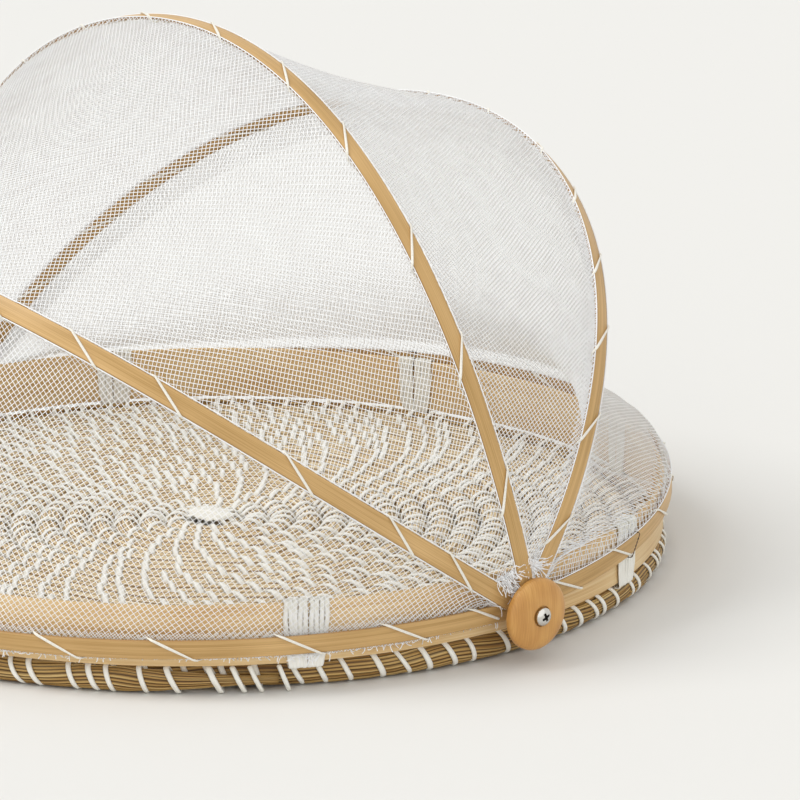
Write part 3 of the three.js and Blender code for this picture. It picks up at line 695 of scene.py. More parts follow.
def stitch_loops(turn, rng, width, thick, steps, section_points, lean_share, slant):
    """Ribbon loops round the bundle, one at each place on the coil, given as turns. A loop
    goes round the section at an angle f, shifted along the coil by a cos f on its way over
    the top, so that it lies along its spoke, and by b sin f, so that it slants on its side."""
    radius, bundle = coil_line(turn)
    count = len(turn)
    f = np.arange(steps) * TURN / steps
    slope = STITCH_SWEEP / RIM_COIL * radius
    lean = slope[:, None] * bundle[:, None] / 2 * np.cos(f) * lean_share
    tilt = (slant + rng.normal(0, 0.5 * MM, count))[:, None] * np.sin(f)
    shift = (lean - tilt) / radius[:, None]
    angle = TURN * turn[:, None] + shift
    semi_width = bundle[:, None] / 2 - 0.25 * MM
    inner = np.where(np.cos(f) < 0, 0.9 * MM, 0.0)
    semi_height = COIL_TOP / 2 - np.where(np.sin(f) < 0, 0.9 * MM, 0.42 * MM)
    out = radius[:, None] + (semi_width + inner) * np.cos(f)
    centre = polar(out, angle, COIL_TOP / 2 + 0.02 * MM + semi_height * np.sin(f))
    forward = ring_forward(centre)
    normal = square_to(centre - polar(radius[:, None], angle, COIL_TOP / 2), forward)
    side = np.cross(normal, forward)
    half = width / 2 * rng.uniform(0.85, 1.12, (count, 1, 1))
    x = np.array(section_points)[:, 0] * half
    y = np.broadcast_to(np.array(section_points)[:, 1] * thick, x.shape)
    section = np.stack([x, y], -1)
    return sweep(centre, side, normal, section, rows_closed=True,
                 around=np.linspace(0, 2 * width, len(section_points) + 1))


RIBBON = ((1, -0.1), (0.75, 0.75), (0, 1.0), (-0.75, 0.75), (-1, -0.1))
THIN_RIBBON = ((1, -0.1), (0.5, 0.95), (-0.5, 0.95), (-1, -0.1))


def centre_knot(rng):
    """The knot over the middle: ribbons laid across it one on another, each a low arch from
    side to side."""
    count = KNOT_RIBBONS
    across = np.linspace(-1, 1, 12)
    reach = rng.uniform(9, 13, count)[:, None] * MM
    heading = (np.arange(count) * math.pi / count + rng.uniform(-0.1, 0.1, count))[:, None]
    arch = KNOT_ARCH * rng.uniform(0.5, 1, (count, 1))
    centre = polar(reach * across, heading, COIL_TOP - 0.4 * MM + arch * (1 - across ** 2))
    forward = unit(np.gradient(centre, axis=1))
    side = np.broadcast_to(round_axis(heading), centre.shape)
    up = np.cross(forward, side)
    return sweep(centre, side, up, np.array(RIBBON) * KNOT_SECTION)


def loose_straws(rng, count):
    """Broken straws on the rim turn: thin three-sided slivers that start in the bundle and
    lift off it a little."""
    start = (COIL_TURNS - 1) + rng.uniform(0.02, 0.75, count)
    length = rng.uniform(8, 26, count)[:, None] * MM
    share = np.linspace(0, 1, 7)
    turn = start[:, None] + share * length / (TURN * RIM_COIL)
    radius, width = coil_line(turn)
    around = rng.uniform(-0.9, 1.2, count)[:, None] + rng.normal(0, 0.12, count)[:, None] * share
    lift = rng.uniform(0.0, 0.8, count)[:, None] * MM * share ** 2
    out = radius + (width / 2 - 0.5 * MM + lift) * np.cos(around)
    up = COIL_TOP / 2 + (COIL_TOP / 2 - 0.7 * MM + lift) * np.sin(around)
    centre = polar(out, TURN * turn, up)
    forward = unit(np.gradient(centre, axis=1))
    normal = square_to(polar(np.cos(around), TURN * turn, np.sin(around)), forward)
    side = np.cross(normal, forward)
    size = rng.uniform(0.25, 0.5, count)[:, None, None, None] * MM
    taper = (1 - 0.7 * share)[None, :, None, None]
    return sweep(centre, side, normal, circle(3, math.pi / 2) * size * taper)


# Net panels

class Panel:
    """A net panel between a low and a high hoop: the share of its width at which its base line
    lies, how far it hangs in at its middle and the power of sin t by which that falls off
    toward the pivots."""

    def __init__(self, low, high, base, sag, power):
        self.low, self.high, self.base = HOOPS[low], HOOPS[high], base
        self.sag, self.power = sag, power
        self.over_low, self.over_high = low == "lip", high == "rear"


# Where the net lies on a hoop: out from and into its side face, beside it, inside its edge,
# beyond it on the lip hoop, and behind it; and how far it keeps from the rim
LAP_OUT, LAP_IN = 0.7 * MM, -0.95 * MM
LAP_SIDE = STRIP_WIDTH / 2 + 0.36 * MM
LAP_EDGE = LAP_SIDE + 0.05 * MM
LIP_EDGE = LAP_SIDE + 0.2 * MM
BEHIND = -(STRIP_THICK / 2 + 0.55 * MM)
RIM_TOP_CLEAR = BAND_TOP + 1.7 * MM
RIM_SIDE_CLEAR = LASHING_OUTER + 1.6 * MM


def over_rim(edge, far):
    """The point of a panel's line that lies level with the top of the band, moved out where
    the line would cut the band."""
    rise = far[..., 2] - edge[..., 2]
    rise = np.where(np.abs(rise) < TINY, TINY, rise)
    share = np.clip((RIM_TOP_CLEAR - edge[..., 2]) / rise, 0.05, 0.5)
    point = edge + (far - edge) * share[..., None]
    radius = np.hypot(point[..., 0], point[..., 1])
    scale = np.where(point[..., 2] < RIM_TOP_CLEAR + 0.5 * MM,
                     np.maximum(radius, RIM_SIDE_CLEAR) / radius, 1.0)
    point[..., 0] *= scale
    point[..., 1] *= scale
    return point


def lip_hang(t):
    """How far the cut edge of the net hangs past the lip hoop: 1.3 mm plus two sines."""
    return (1.3 + 0.5 * np.sin(9 * t + 4.2) + 0.3 * np.sin(31 * t)) * MM


def panel_line(panel, t):
    """The five corners of a panel's line at each angle t: its end, the inner edge of the low
    hoop's side face, a middle point, which is over the rim where the panel crosses it, the same
    edge of the high hoop and the other end. The ends lie on the hoops' side faces, except at
    the lip hoop, where the net runs on behind it."""
    low, high = hoop_frame(panel.low, t), hoop_frame(panel.high, t)
    even = np.ones_like(t)
    if panel.over_low:
        first = offset(low, BEHIND * even, STRIP_WIDTH / 2 + lip_hang(t))
        second = offset(low, BEHIND * even, -LIP_EDGE * even)
    else:
        first = offset(low, LAP_OUT * even, -LAP_SIDE * even)
        second = offset(low, LAP_IN * even, -LAP_EDGE * even)
    fourth = offset(high, LAP_IN * even, LAP_EDGE * even)
    fifth = offset(high, LAP_OUT * even, LAP_SIDE * even)
    middle = (second + fourth) / 2
    if panel.over_low:
        middle = over_rim(second, fourth)
    if panel.over_high:
        middle = over_rim(fourth, second)
    corners = np.stack([first, second, middle, fourth, fifth])
    steps = np.linalg.norm(np.diff(corners, axis=0), axis=-1)
    return corners, np.concatenate([np.zeros((1,) + t.shape), np.cumsum(steps, 0)])


def panel_point(panel, t, distance):
    """The point of a panel at a distance along its line from its low end, and its share of the
    free net between the hoops. The line hangs in by the sag times 4 s (1 - s) and a power of
    sin t."""
    corners, lengths = panel_line(panel, t)
    distance = np.clip(distance, 0, lengths[-1])
    point = np.zeros(t.shape + (3,))
    for k in range(4):
        span = lengths[k + 1] - lengths[k]
        share = np.clip((distance - lengths[k]) / np.maximum(span, TINY), 0, 1)
        inside = (distance >= lengths[k]) if k else np.ones_like(distance, bool)
        here = corners[k] + (corners[k + 1] - corners[k]) * share[..., None]
        point = np.where(inside[..., None], here, point)
    begin = lengths[2] if panel.over_low else lengths[1]
    end = lengths[2] if panel.over_high else lengths[3]
    s = np.clip((distance - begin) / np.maximum(end - begin, TINY), 0, 1)
    inward = np.array([0, 0, PIVOT_HEIGHT]) - point
    inward[..., 0] = 0
    hang = panel.sag * 4 * s * (1 - s) * np.sin(t) ** panel.power
    point = point + unit(inward) * hang[..., None]
    free = np.clip((distance - lengths[1]) / np.maximum(lengths[3] - lengths[1], TINY), 0, 1)
    return point, free


def panel_start(panel, start):
    """The angle t at which a panel's line is this far from the pivot axis."""
    return math.asin(start / min(panel.low.reach, panel.high.reach))


def strand_span(margin, u):
    """Where each strand enters and leaves the panel: the places between samples at which its
    margin to the nearest edge is 0."""
    inside = margin > 0
    rows, last_column = np.arange(len(margin)), margin.shape[1] - 1
    ends = []
    for inner, step in ((inside.argmax(1), -1), (last_column - inside[:, ::-1].argmax(1), 1)):
        outer = np.clip(inner + step, 0, last_column)
        a, b = margin[rows, outer], margin[rows, inner]
        share = np.where(outer == inner, 0, a / np.where(a == b, 1, a - b))
        ends.append(u[outer] + (u[inner] - u[outer]) * np.clip(share, 0, 1))
    return ends


def net_lattice(panel, pitch, yarn, start, rng, low_hem=None, high_hem=None, inward=0.0,
                phase=0.0):
    """Strands of a net on the bias. With u the length along the panel's base line and v the
    distance across from it, u + v is constant on the strands of one set and u - v on those of
    the other, in steps of the pitch times root 2. A strand is cut where it meets an edge of the
    panel, or of the hem along one hoop. It is two yarns, one behind the other, each a
    three-sided tube with a ring at every third crossing."""
    begin = panel_start(panel, start)
    t_table = np.linspace(begin, math.pi - begin, 900)
    _, lengths = panel_line(panel, t_table)
    base = lengths[1] + panel.base * (lengths[3] - lengths[1])
    u_table = run_of(panel_point(panel, t_table, base)[0])
    whole = u_table[-1]
    low = lengths[3] - base - high_hem if high_hem else -base
    high = lengths[1] - base + low_hem if low_hem else lengths[-1] - base
    reach = max(-low.min(), high.max())
    spacing = pitch * math.sqrt(2)
    phases = rng.random(4)

    def place(u, v):
        """The point at u and v, which wanders a little, and its share of the free net."""
        wander = WANDER * np.sin(TURN * (u / (57 * MM) + v / (83 * MM) + phases[0]))
        drift = WANDER * np.sin(TURN * (v / (61 * MM) - u / (91 * MM) + phases[1]))
        t = np.interp(u + wander, u_table, t_table)
        return panel_point(panel, t, np.interp(u, u_table, base) + v + drift)

    points, quads, caps, shares = [], [], [], []
    count = 0
    triangle = yarn * circle(3, math.radians(30))
    j, after = np.array([0, 1, 2]), np.array([1, 2, 0])
    first = math.floor(-reach / spacing)
    for sign in (1, -1):
        c = spacing * (np.arange(first, math.ceil((whole + reach) / spacing)) + phase)
        fine = np.arange(0, whole, spacing / 4)
        v = sign * (c[:, None] - fine)
        margin = np.minimum(v - np.interp(fine, u_table, low), np.interp(fine, u_table, high) - v)
        crossing = (margin > 0).any(1)
        c, margin = c[crossing, None], margin[crossing]
        enter, leave = strand_span(margin, fine)
        rings = RING_STEP * spacing * np.arange(int(whole / spacing / RING_STEP) + 2)
        u = np.clip(rings, enter[:, None], leave[:, None])
        kept = np.diff(u, axis=1) > SHORTEST
        used = np.zeros(u.shape, bool)
        used[:, :-1] |= kept
        used[:, 1:] |= kept
        number = np.cumsum(used).reshape(used.shape) - 1
        a, b = number[:, :-1][kept], number[:, 1:][kept]
        u, v = u[used], (sign * (c - u))[used]
        point, free = place(u, v)
        ahead, aside = (place(u + NUDGE, v + way * NUDGE)[0] - place(u - NUDGE, v - way * NUDGE)[0]
                        for way in (-sign, sign))
        normal = unit(np.cross(aside, ahead) * sign)
        side = unit(np.cross(normal, ahead))
        section = side[:, None] * triangle[:, :1] + normal[:, None] * triangle[:, 1:]
        starts, ends = np.setdiff1d(a, b), np.setdiff1d(b, a)
        for depth in (-YARN_DEPTH * yarn, YARN_DEPTH * yarn):
            ring = (point - normal * (inward + depth))[:, None] + section
            here, there = 3 * a[:, None] + count, 3 * b[:, None] + count
            quads.append(np.stack([here + j, here + after, there + after, there + j],
                                  -1).reshape(-1, 4))
            caps += [3 * starts[:, None] + count + j[::-1], 3 * ends[:, None] + count + j]
            points.append(ring.reshape(-1, 3))
            shares.append(np.repeat(free, 3))
            count += 3 * len(point)
    quads, caps = np.concatenate(quads), np.concatenate(caps)
    uvs = [np.zeros(quads.shape + (2,)), np.zeros(caps.shape + (2,))]
    return Surface(np.concatenate(points), [quads, caps], uvs, share=np.concatenate(shares))


def thread_tubes(paths, radius, share, corners=3):
    """Closed thin tubes along (copies, rings, 3) paths."""
    forward = unit(np.gradient(paths, axis=1))
    guide = np.where(np.abs(forward[..., 2:3]) > 0.9, X_AXIS, Z_AXIS)
    side = unit(np.cross(forward, guide))
    up = np.cross(side, forward)
    return sweep(paths, side, up, circle(corners) * radius,
                 share=np.asarray(share, float)[..., None])


def edge_threads(panel, start, low_share, high_share):
    """The thick edge thread of a panel along each hoop's side face."""
    begin = panel_start(panel, start)
    t = np.linspace(begin, math.pi - begin, 500)
    _, lengths = panel_line(panel, t)
    made = []
    for distance, share in ((0 * t, low_share), (lengths[-1], high_share)):
        if share is not None:
            path, _ = panel_point(panel, t, distance)
            made.append(thread_tubes(path[None], EDGE_THREAD, np.full((1, 1), share), 4))
    return made


def curled(root, down, along, away, length, heading, curl, rings=7):
    """Thread paths that start at their roots and turn at an even rate: step by step they go
    down by the cosine of the heading and along by its sine."""
    share = np.linspace(0, 1, rings)
    angle = heading[:, None] + curl[:, None] * share
    step = length[:, None] / (rings - 1)
    fall = np.cumsum(np.cos(angle) * step, 1) - np.cos(angle[:, :1]) * step
    drift = np.cumsum(np.sin(angle) * step, 1) - np.sin(angle[:, :1]) * step
    lift = share ** 1.5
    return (root[:, None] + down[:, None] * fall[..., None] + along[:, None] * drift[..., None]
            + away[:, None] * lift[..., None])


def frayed_threads(count, rng):
    """Cut net threads that curl out under the lip hoop, longest where the net hangs lowest. A
    third of them stand in clusters."""
    clusters = rng.uniform(FRAY_ENDS, math.pi - FRAY_ENDS, FRAY_CLUSTERS)
    third = count // 3
    t = np.concatenate([rng.uniform(FRAY_ENDS, math.pi - FRAY_ENDS, count - third),
                        rng.choice(clusters, third) + rng.normal(0, 0.012, third)])
    place = hoop_frame(HOOPS["lip"], t)
    _, forward, out, across = place
    hang = lip_hang(t)
    root = offset(place, np.full(count, BEHIND), STRIP_WIDTH / 2 + hang - 0.8 * MM)
    away = out * (0.6 * MM * rng.normal(0.8, 0.7, count))[:, None]
    length = hang * rng.uniform(0.6, 2.4, count)
    paths = curled(root, across, forward, away, length,
                   rng.normal(0, 0.6, count), rng.normal(0, 1.8, count))
    return thread_tubes(paths, FRAY_THREAD, np.zeros((1, 1)))


def gathered_ends(panel, start, count, rng, outward=0.0, spread=0.3):
    """The net's cut ends at the pivots: threads that leave the panel's line at the start toward
    the pivot and curl, on either side of it or outward over the hoops."""
    begin = panel_start(panel, start)
    made = []
    for t_end in (begin, math.pi - begin):
        t = np.full(count, t_end)
        _, lengths = panel_line(panel, t)
        root, free = panel_point(panel, t, lengths[-1] * rng.uniform(0.05, 0.95, count))
        pivot = np.array([root[0, 0], 0, PIVOT_HEIGHT])
        inward = unit(pivot - root)
        side = np.cross(inward, X_AXIS)
        away = X_AXIS * rng.normal(0, 0.5 * MM, (count, 1))
        away[:, 0] += outward * np.sign(root[:, 0])
        paths = curled(root, inward, side, away, rng.uniform(2, 8, count) * MM,
                       rng.normal(0, spread, count), rng.normal(0, 1.0 + spread, count))
        made.append(thread_tubes(paths, END_THREAD, free[:, None]))
    return made


# Whipping cord

def cord_path(hoop, start, step=0.9 * MM):
    """The centre line of the cord wound round a hoop, and the direction away from the strip's
    middle. A turn's corners are places along the strip, out from its flat face and across it:
    four after each crossing and two before the next. Between them the cord lies straight, and
    a moving mean rounds them. It clears the net's hem inside the lip hoop."""
    t_table, lengths = hoop_lengths(hoop)
    whole = lengths[-1]
    crossings = list(hoop.crossings)
    while crossings[0] > start - hoop.pitch:
        crossings.insert(0, crossings[0] - hoop.pitch)
    while crossings[-1] < whole - start + hoop.pitch:
        crossings.append(crossings[-1] + hoop.pitch)
    crossings = np.array(crossings)
    rise = STRIP_THICK / 2 + WRAP_GAP + CORD_DIAMETER / 2
    inner_rise = rise + (LIP_CORD_SLACK if hoop is HOOPS["lip"] else 0.0)
    side = STRIP_WIDTH / 2 + WRAP_GAP + CORD_DIAMETER / 2
    across, edge, back = CORD_SLANT, CORD_SLANT + CORD_EDGE, CORD_SLANT + CORD_BACK
    leaving = np.array([[-across, rise, side], [across, rise, -side],
                        [edge, 0, -side - WRAP_GAP], [back, -inner_rise, -side]])
    arriving = np.array([[-back, -inner_rise, side], [-edge, 0, side + WRAP_GAP]])
    middles = crossings[:, None, None] * X_AXIS
    route = np.concatenate([middles[:-1] + leaving, middles[1:] + arriving], 1).reshape(-1, 3)
    place = run_of(route)
    fine = np.arange(0, place[-1], step)
    dense = np.stack([np.interp(fine, place, route[:, k]) for k in range(3)], -1)
    window = np.ones(3) / 3
    padded = np.pad(dense, ((1, 1), (0, 0)), mode="edge")
    dense = np.stack([np.convolve(padded[:, k], window, "valid") for k in range(3)], -1)
    dense = dense[(dense[:, 0] > start) & (dense[:, 0] < whole - start)]
    t = np.interp(dense[:, 0], lengths, t_table)
    framed = hoop_frame(hoop, t)
    points = offset(framed, dense[:, 1], dense[:, 2])
    away = framed[2] * dense[:, 1:2] * 3 + framed[3] * dense[:, 2:3]
    return points, unit(away)


def flat_cord(points, guide, width, height, lay, corners=12):
    """A flat bundle of yarns: at angle f and length s its half-width times cos f and its
    half-height times sin f, both drawn in between the plies by a + b cos (6 (f - s / lay))."""
    forward = unit(np.gradient(points, axis=0))
    up = square_to(guide, forward)
    side = np.cross(up, forward)
    f = np.arange(corners) * TURN / corners
    swell = 0.95 + 0.05 * np.cos(CORD_PLIES * (f - run_of(points)[:, None] / lay))
    section = np.stack([width / 2 * swell * np.cos(f), height / 2 * swell * np.sin(f)], -1)
    return sweep(points[None], side[None], up[None], section,
                 around=np.arange(corners + 1) * width * 2.6 / corners)


# Hardware

def cut_screw_hole(made, reach):
    """Cuts the screws' hole out of a piece, along the pivot axis from -reach to reach."""
    y, z = (SCREW_RADIUS + TOUCH_GAP) * circle(24).T
    ends = np.array([-reach, reach])[:, None]
    grid = np.stack(np.broadcast_arrays(ends, -y, PIVOT_HEIGHT + z), -1)
    tool = piece("cutter", skin(grid[None]), made.data.materials[0])
    modifier = made.modifiers.new("cut", "BOOLEAN")
    modifier.operation = "DIFFERENCE"
    modifier.solver = "EXACT"
    modifier.object = tool
    with bpy.context.temp_override(object=made, active_object=made):
        bpy.ops.object.modifier_apply(modifier=modifier.name)
    bpy.data.objects.remove(tool, do_unlink=True)


# Settings that a user would change

def length_setting(name, description, millimetres, least):
    """A length that a user can change."""
    return bpy.props.FloatProperty(
        name=name, description=description, default=millimetres * MM, min=least * MM,
        unit="LENGTH", precision=5)


def colour_setting(name, description, hex_colour):
    """A colour that a user can change."""
    return bpy.props.FloatVectorProperty(
        name=name, description=description, subtype="COLOR", default=linear(hex_colour)[:3],
        min=0, max=1)


class FoodCoverSizes(bpy.types.PropertyGroup):
    """Sizes of the fine detail."""
    net_pitch: length_setting(
        "Net pitch", "Distance between neighbouring threads of the net", 2.0, 1.2)
    net_yarn: length_setting(
        "Net yarn", "Radius of each of the two yarns in a thread of the net", 0.129, 0.05)
    net_start: length_setting(
        "Net start", "Distance from the pivot axis at which a panel starts", 14, 10)
    net_sag: length_setting("Net sag", "How far a taut panel hangs in at its middle", 5, 0)
    rear_net_sag: length_setting(
        "Rear net sag", "How far the slack rear panel hangs in at its middle", 42, 0)
    hem: length_setting("Hem", "Width of the doubled net on the back hoop's low side", 3.5, 2)
    stitch_width: length_setting("Stitch width", "Width of a raffia stitch", 3.3, 1)
    cord_lay: length_setting("Cord lay", "Length of one twist of the cord", 40, 2)
    frays: bpy.props.IntProperty(
        name="Frayed threads", description="Cut net threads that show under the lip hoop",
        default=420, min=0)


class FoodCoverColours(bpy.types.PropertyGroup):
    """Colours of the hoops and the floor."""
    hoop_dark: colour_setting("Hoop grain", "Dark fibres of the hoops", "#AB864C")
    hoop: colour_setting("Hoop", "Ground colour of the hoops", "#C49E65")
    hoop_pale: colour_setting("Hoop light", "Pale streaks of the hoops", "#D8B27A")
    floor: colour_setting("Floor", "Colour of the floor", "#E5E4E1")


class FOODCOVER_OT_mat(bpy.types.Operator):
    """Lay the coiled grass bundle and sew it with raffia"""
    bl_idname = "foodcover.mat"
    bl_label = "Coiled mat"

    def execute(self, context):
        rng = np.random.default_rng(SEED)
        sizes = context.scene.food_cover_sizes
        raffia = raffia_material()
        # each straw material's second colour is painted shade for the grooves between straws
        pale = grass_material("bleached_grass_straw", "#7C5E36",
                              "#BF9D6C", "#DABF92", "#EAD5AE", "#F3E4C5", "#E0C293")
        # the rim's straw is a darker copy of the grass: partly its own golden brown, partly
        # painted shade of the coil's shaded side
        brown = grass_material("golden_grass_straw_painted_shade", "#3E2710",
                               "#6E4B22", "#9A733B", "#BD9858", "#D6B97E", "#A37338")
        rings, angles = stitch_places(rng)
        turns = rings + angles / TURN
        rim = turns > RIM_START
        rim_turns = np.sort(turns[rim])
        rim_turns = rim_turns[rim_turns < COIL_TURNS - RIM_STITCH_END]
        inner = self.inner_rings()
        bundle = piece("grass_coil_inner", straw_bundle(inner, INNER_STRAWS, rng), pale)
        settle(bundle, "tray", "grass_coil", "coiled_mat")
        outer = np.linspace(RIM_START, COIL_TURNS, RIM_RINGS)
        _, width = coil_line(outer)
        outer = outer[width > COIL_END_WIDTH]
        edge = joined([straw_bundle(outer, RIM_STRAWS, rng, rim_turns),
                       loose_straws(rng, LOOSE_STRAWS)])
        settle(piece("grass_coil_rim", edge, brown), "tray", "grass_coil")
        sewn = stitch_loops(turns[~rim], rng, sizes.stitch_width, STITCH_THICK, 12,
                            THIN_RIBBON, 0.8, 1.6 * MM)
        inside = joined([sewn, centre_knot(rng)])
        settle(piece("raffia_stitches_inner", inside, raffia), "tray", "raffia", "mat_stitching")
        outside = stitch_loops(rim_turns, rng, 0.75 * sizes.stitch_width, RIM_STITCH_THICK, 20,
                               RIBBON, 0.0, 2.4 * MM)
        settle(piece("raffia_stitches_rim", outside, raffia), "tray", "raffia")
        return {"FINISHED"}

    def inner_rings(self):
        """The turns at which the inner bundle has a ring: even steps along it, with enough of
        them to a turn near the middle."""
        fine = np.linspace(0, RIM_START, 40000)
        spread = np.maximum(coil_length(fine) / INNER_RING_STEP, fine * INNER_RINGS_A_TURN)
        return np.append(np.interp(np.arange(0, spread[-1]), spread, fine), RIM_START)


class FOODCOVER_OT_rim(bpy.types.Operator):
    """Stand the rim band on the mat, with its lashings and wire ties"""
    bl_idname = "foodcover.rim"
    bl_label = "Rim band"

    def execute(self, context):
        self.band()
        self.lashings()
        self.ties()
        return {"FINISHED"}

    def band(self):
        """A rounded section carried round a circle: out times r, where r is the middle of the
        band's wall, with a slow wave in its height."""
        rng = np.random.default_rng(SEED + 1)
        material = bamboo_material("split_bamboo_rim", "#CBA168", "#E2C08A", "#EED3A4")
        steps = 360
        angle = np.arange(steps) * TURN / steps
        radius = (BAND_INNER + BAND_OUTER) / 2
        out = polar(1, angle, 0)
        centre = polar(radius, angle, (BAND_FOOT + BAND_TOP) / 2)
        up = np.broadcast_to(Z_AXIS, out.shape)
        section = rounded_section(BAND_THICK - 0.1 * MM, BAND_TOP - BAND_FOOT, 0.7 * MM, 4)
        wave = 1 - 0.012 * (1 + waves(angle, rng, 4, TURN))
        section = section[None] * np.stack([np.ones(steps), wave], -1)[:, None]
        made = piece("rim_band_strip", sweep(
            centre[None], out[None], up[None], section, rows_closed=True,
            along=(angle * radius)[None], around=run_of(section[0], closed=True)),
            material, sharp=60)
        cut_screw_hole(made, 1.5 * BAND_OUTER)
        settle(made, "tray", "bamboo_band", "rim_band")

    def lashings(self):
        """Strands bound round the band: closed loops whose path is a rectangle with round
        corners that stands upright, at even places across a narrow and a wide group. They
        draw together toward the foot of the band."""
        rng = np.random.default_rng(SEED + 2)
        raffia = bpy.data.materials["bleached_raffia"]
        inside, outside = BAND_INNER - TOUCH_GAP - 0.3 * MM, BAND_OUTER + 0.6 * MM
        low, high = COIL_TOP - 1.6 * MM, BAND_TOP + 0.6 * MM
        middle_radius, middle_height = (inside + outside) / 2, (low + high) / 2
        path = rounded_section(outside - inside, high - low, 1.2 * MM, 4)
        path = np.concatenate([path[:4], path[3:4] * [0, 1],
                               path[4:8], path[7] * [[1, 0.5], [1, -0.5]],
                               path[8:], path[0] * [[1, -0.5], [1, 0.5]]])
        offsets = np.concatenate([np.linspace(*NARROW_GROUP), np.linspace(*WIDE_GROUP)]) * MM
        for k, degrees in enumerate(LASHING_DEGREES):
            turn = math.radians(degrees)
            out, aside = polar(1, turn, 0), round_axis(turn)
            count = len(offsets)
            spread = offsets[:, None] + rng.normal(0, 0.18 * MM, (count, len(path)))
            spread = spread * (1 - LASHING_DRAW * smoothstep(-path[:, 1], 0, high / 2))
            depth = rng.uniform(0, LASHING_DEPTH, (count, 1))
            radial = middle_radius + path[:, 0] + np.sign(path[:, 0]) * depth
            height = middle_height + path[:, 1] + np.sign(path[:, 1]) * depth * 0.5
            radial = np.sqrt(np.maximum(radial ** 2 - spread ** 2, 0))
            centre = (radial[..., None] * out + spread[..., None] * aside
                      + height[..., None] * Z_AXIS)
            forward = ring_forward(centre)
            normal = centre - middle_radius * out - middle_height * Z_AXIS
            normal -= aside * (normal @ aside)[..., None]
            upright = np.abs(path[:, 0])[:, None] > 1.3 * MM
            normal -= 0.96 * Z_AXIS * normal[..., 2:3] * upright
            normal = square_to(normal, forward)
            side = np.cross(normal, forward)
            made = piece(f"lashing_strands_{k + 1}", sweep(
                centre, side, normal, np.array(RIBBON) * LASHING_SECTION, rows_closed=True,
                around=np.linspace(0, 4 * MM, 6)), raffia)
            settle(made, "tray", "raffia", f"rim_lashing_{k + 1}")

    def ties(self):
        """Thin wire twisted in pairs round the rear hoop and the band: two strands wound round
        a path that is a rectangle with round corners, leaning along the hoop."""
        wire = wire_material()
        hoop = HOOPS["rear"]
        for k in range(TIE_COUNT):
            angle = math.radians(LASHING_DEGREES[k]) + TIE_MIDDLE / BAND_OUTER
            stretched = math.hypot(hoop.reach * math.cos(angle), hoop.half * math.sin(angle))
            radius = hoop.half * hoop.reach / stretched
            outside = radius + STRIP_THICK / 2 + 2 * WRAP_GAP + CORD_DIAMETER + 0.3 * MM
            inside = BAND_INNER - 0.7 * MM
            middle = PIVOT_HEIGHT + hoop.reach * math.sin(angle) * math.sin(hoop.angle)
            rise = STRIP_WIDTH / 2 + WRAP_GAP + 0.5 * MM
            corner = rounded_section(outside - inside, 2 * rise, 0.9 * MM, 4)
            place = run_of(corner, closed=True)
            fine = np.linspace(0, place[-1], 110, endpoint=False)
            ringed = np.concatenate([corner, corner[:1]])
            x, y = (np.interp(fine, place, ringed[:, c]) for c in range(2))
            lean = TIE_LEAN * y / rise * (x > 0)
            strands = []
            for start in (0, math.pi):
                wind = fine * TURN / TIE_TWIST + start
                radial = (outside + inside) / 2 + x + TIE_OFFSET * np.cos(wind)
                turn = angle + lean / radial
                path = polar(radial, turn, middle + y + TIE_OFFSET * np.sin(wind))[None]
                forward = ring_forward(path)
                aside = square_to(round_axis(turn)[None], forward)
                strands.append(sweep(path, aside, np.cross(forward, aside),
                                     circle(5) * TIE_RADIUS, rows_closed=True))
            made = piece(f"wire_tie_{k + 1}", joined(strands), wire)
            settle(made, "tray", "binding_wire", f"rear_hoop_tie_{k + 1}")


class FOODCOVER_OT_hoops(bpy.types.Operator):
    """Bend the five bamboo hoops"""
    bl_idname = "foodcover.hoops"
    bl_label = "Hoops"

    def execute(self, context):
        rng = np.random.default_rng(SEED + 3)
        colours = context.scene.food_cover_colours
        # 8C6232 is the painted shade on the hoops' edges
        material = bamboo_material("split_bamboo_strip", tuple(colours.hoop_dark),
                                   tuple(colours.hoop), tuple(colours.hoop_pale), "#8C6232")
        for name, hoop in HOOPS.items():
            made = piece(f"{name}_hoop_strip", self.strip(hoop, rng), material, sharp=60)
            cut_screw_hole(made, 1.5 * hoop.half)
            settle(made, BODIES[name], "bamboo_hoop", f"{name}_hoop")
        return {"FINISHED"}

    def strip(self, hoop, rng):
        """A rounded section with a slightly crowned face, carried along the hoop's centre
        line, with straight tails whose width falls as a half circle to their round ends."""
        t_table, lengths = hoop_lengths(hoop)
        quarter = np.linspace(0, math.pi / 2, 8)
        place = np.concatenate([
            -STRIP_TAIL + STRIP_TAIL * (1 - np.cos(quarter))[:-1],
            np.linspace(0, lengths[-1], 260),
            lengths[-1] + STRIP_TAIL * np.sin(quarter)[1:]])
        t = np.interp(place, lengths, t_table)
        centre, forward, out, across = hoop_frame(hoop, t)
        beyond = np.minimum(place, 0) + np.maximum(place - lengths[-1], 0)
        centre = centre + forward * beyond[:, None]
        half = STRIP_WIDTH / 2
        past = np.clip((np.abs(beyond) - STRIP_TAIL + half) / half, 0, 0.995)
        section = rounded_section(STRIP_WIDTH, STRIP_THICK, 0.45 * MM, 4)
        section[:, 1] += 0.12 * MM * (1 - (section[:, 0] / half) ** 2) * (section[:, 1] > 0)
        width = np.sqrt(1 - past ** 2) * (1 + 0.015 * waves(place, rng, 5, 300 * MM))
        section = section[None] * np.stack([width, np.ones_like(width)], -1)[:, None]
        # painted shade on the strip's long edges, strongest at its side faces
        edge = smoothstep(np.abs(section[..., 0]), half - 0.5 * MM, half)
        around = run_of(section[FULL_WIDTH_RING], closed=True)
        along = place + rng.uniform(0, 5)
        return sweep(centre[None], across[None], out[None], section, along=along[None],
                     around=around, edge=EDGE_PAINTED_SHADE * edge)


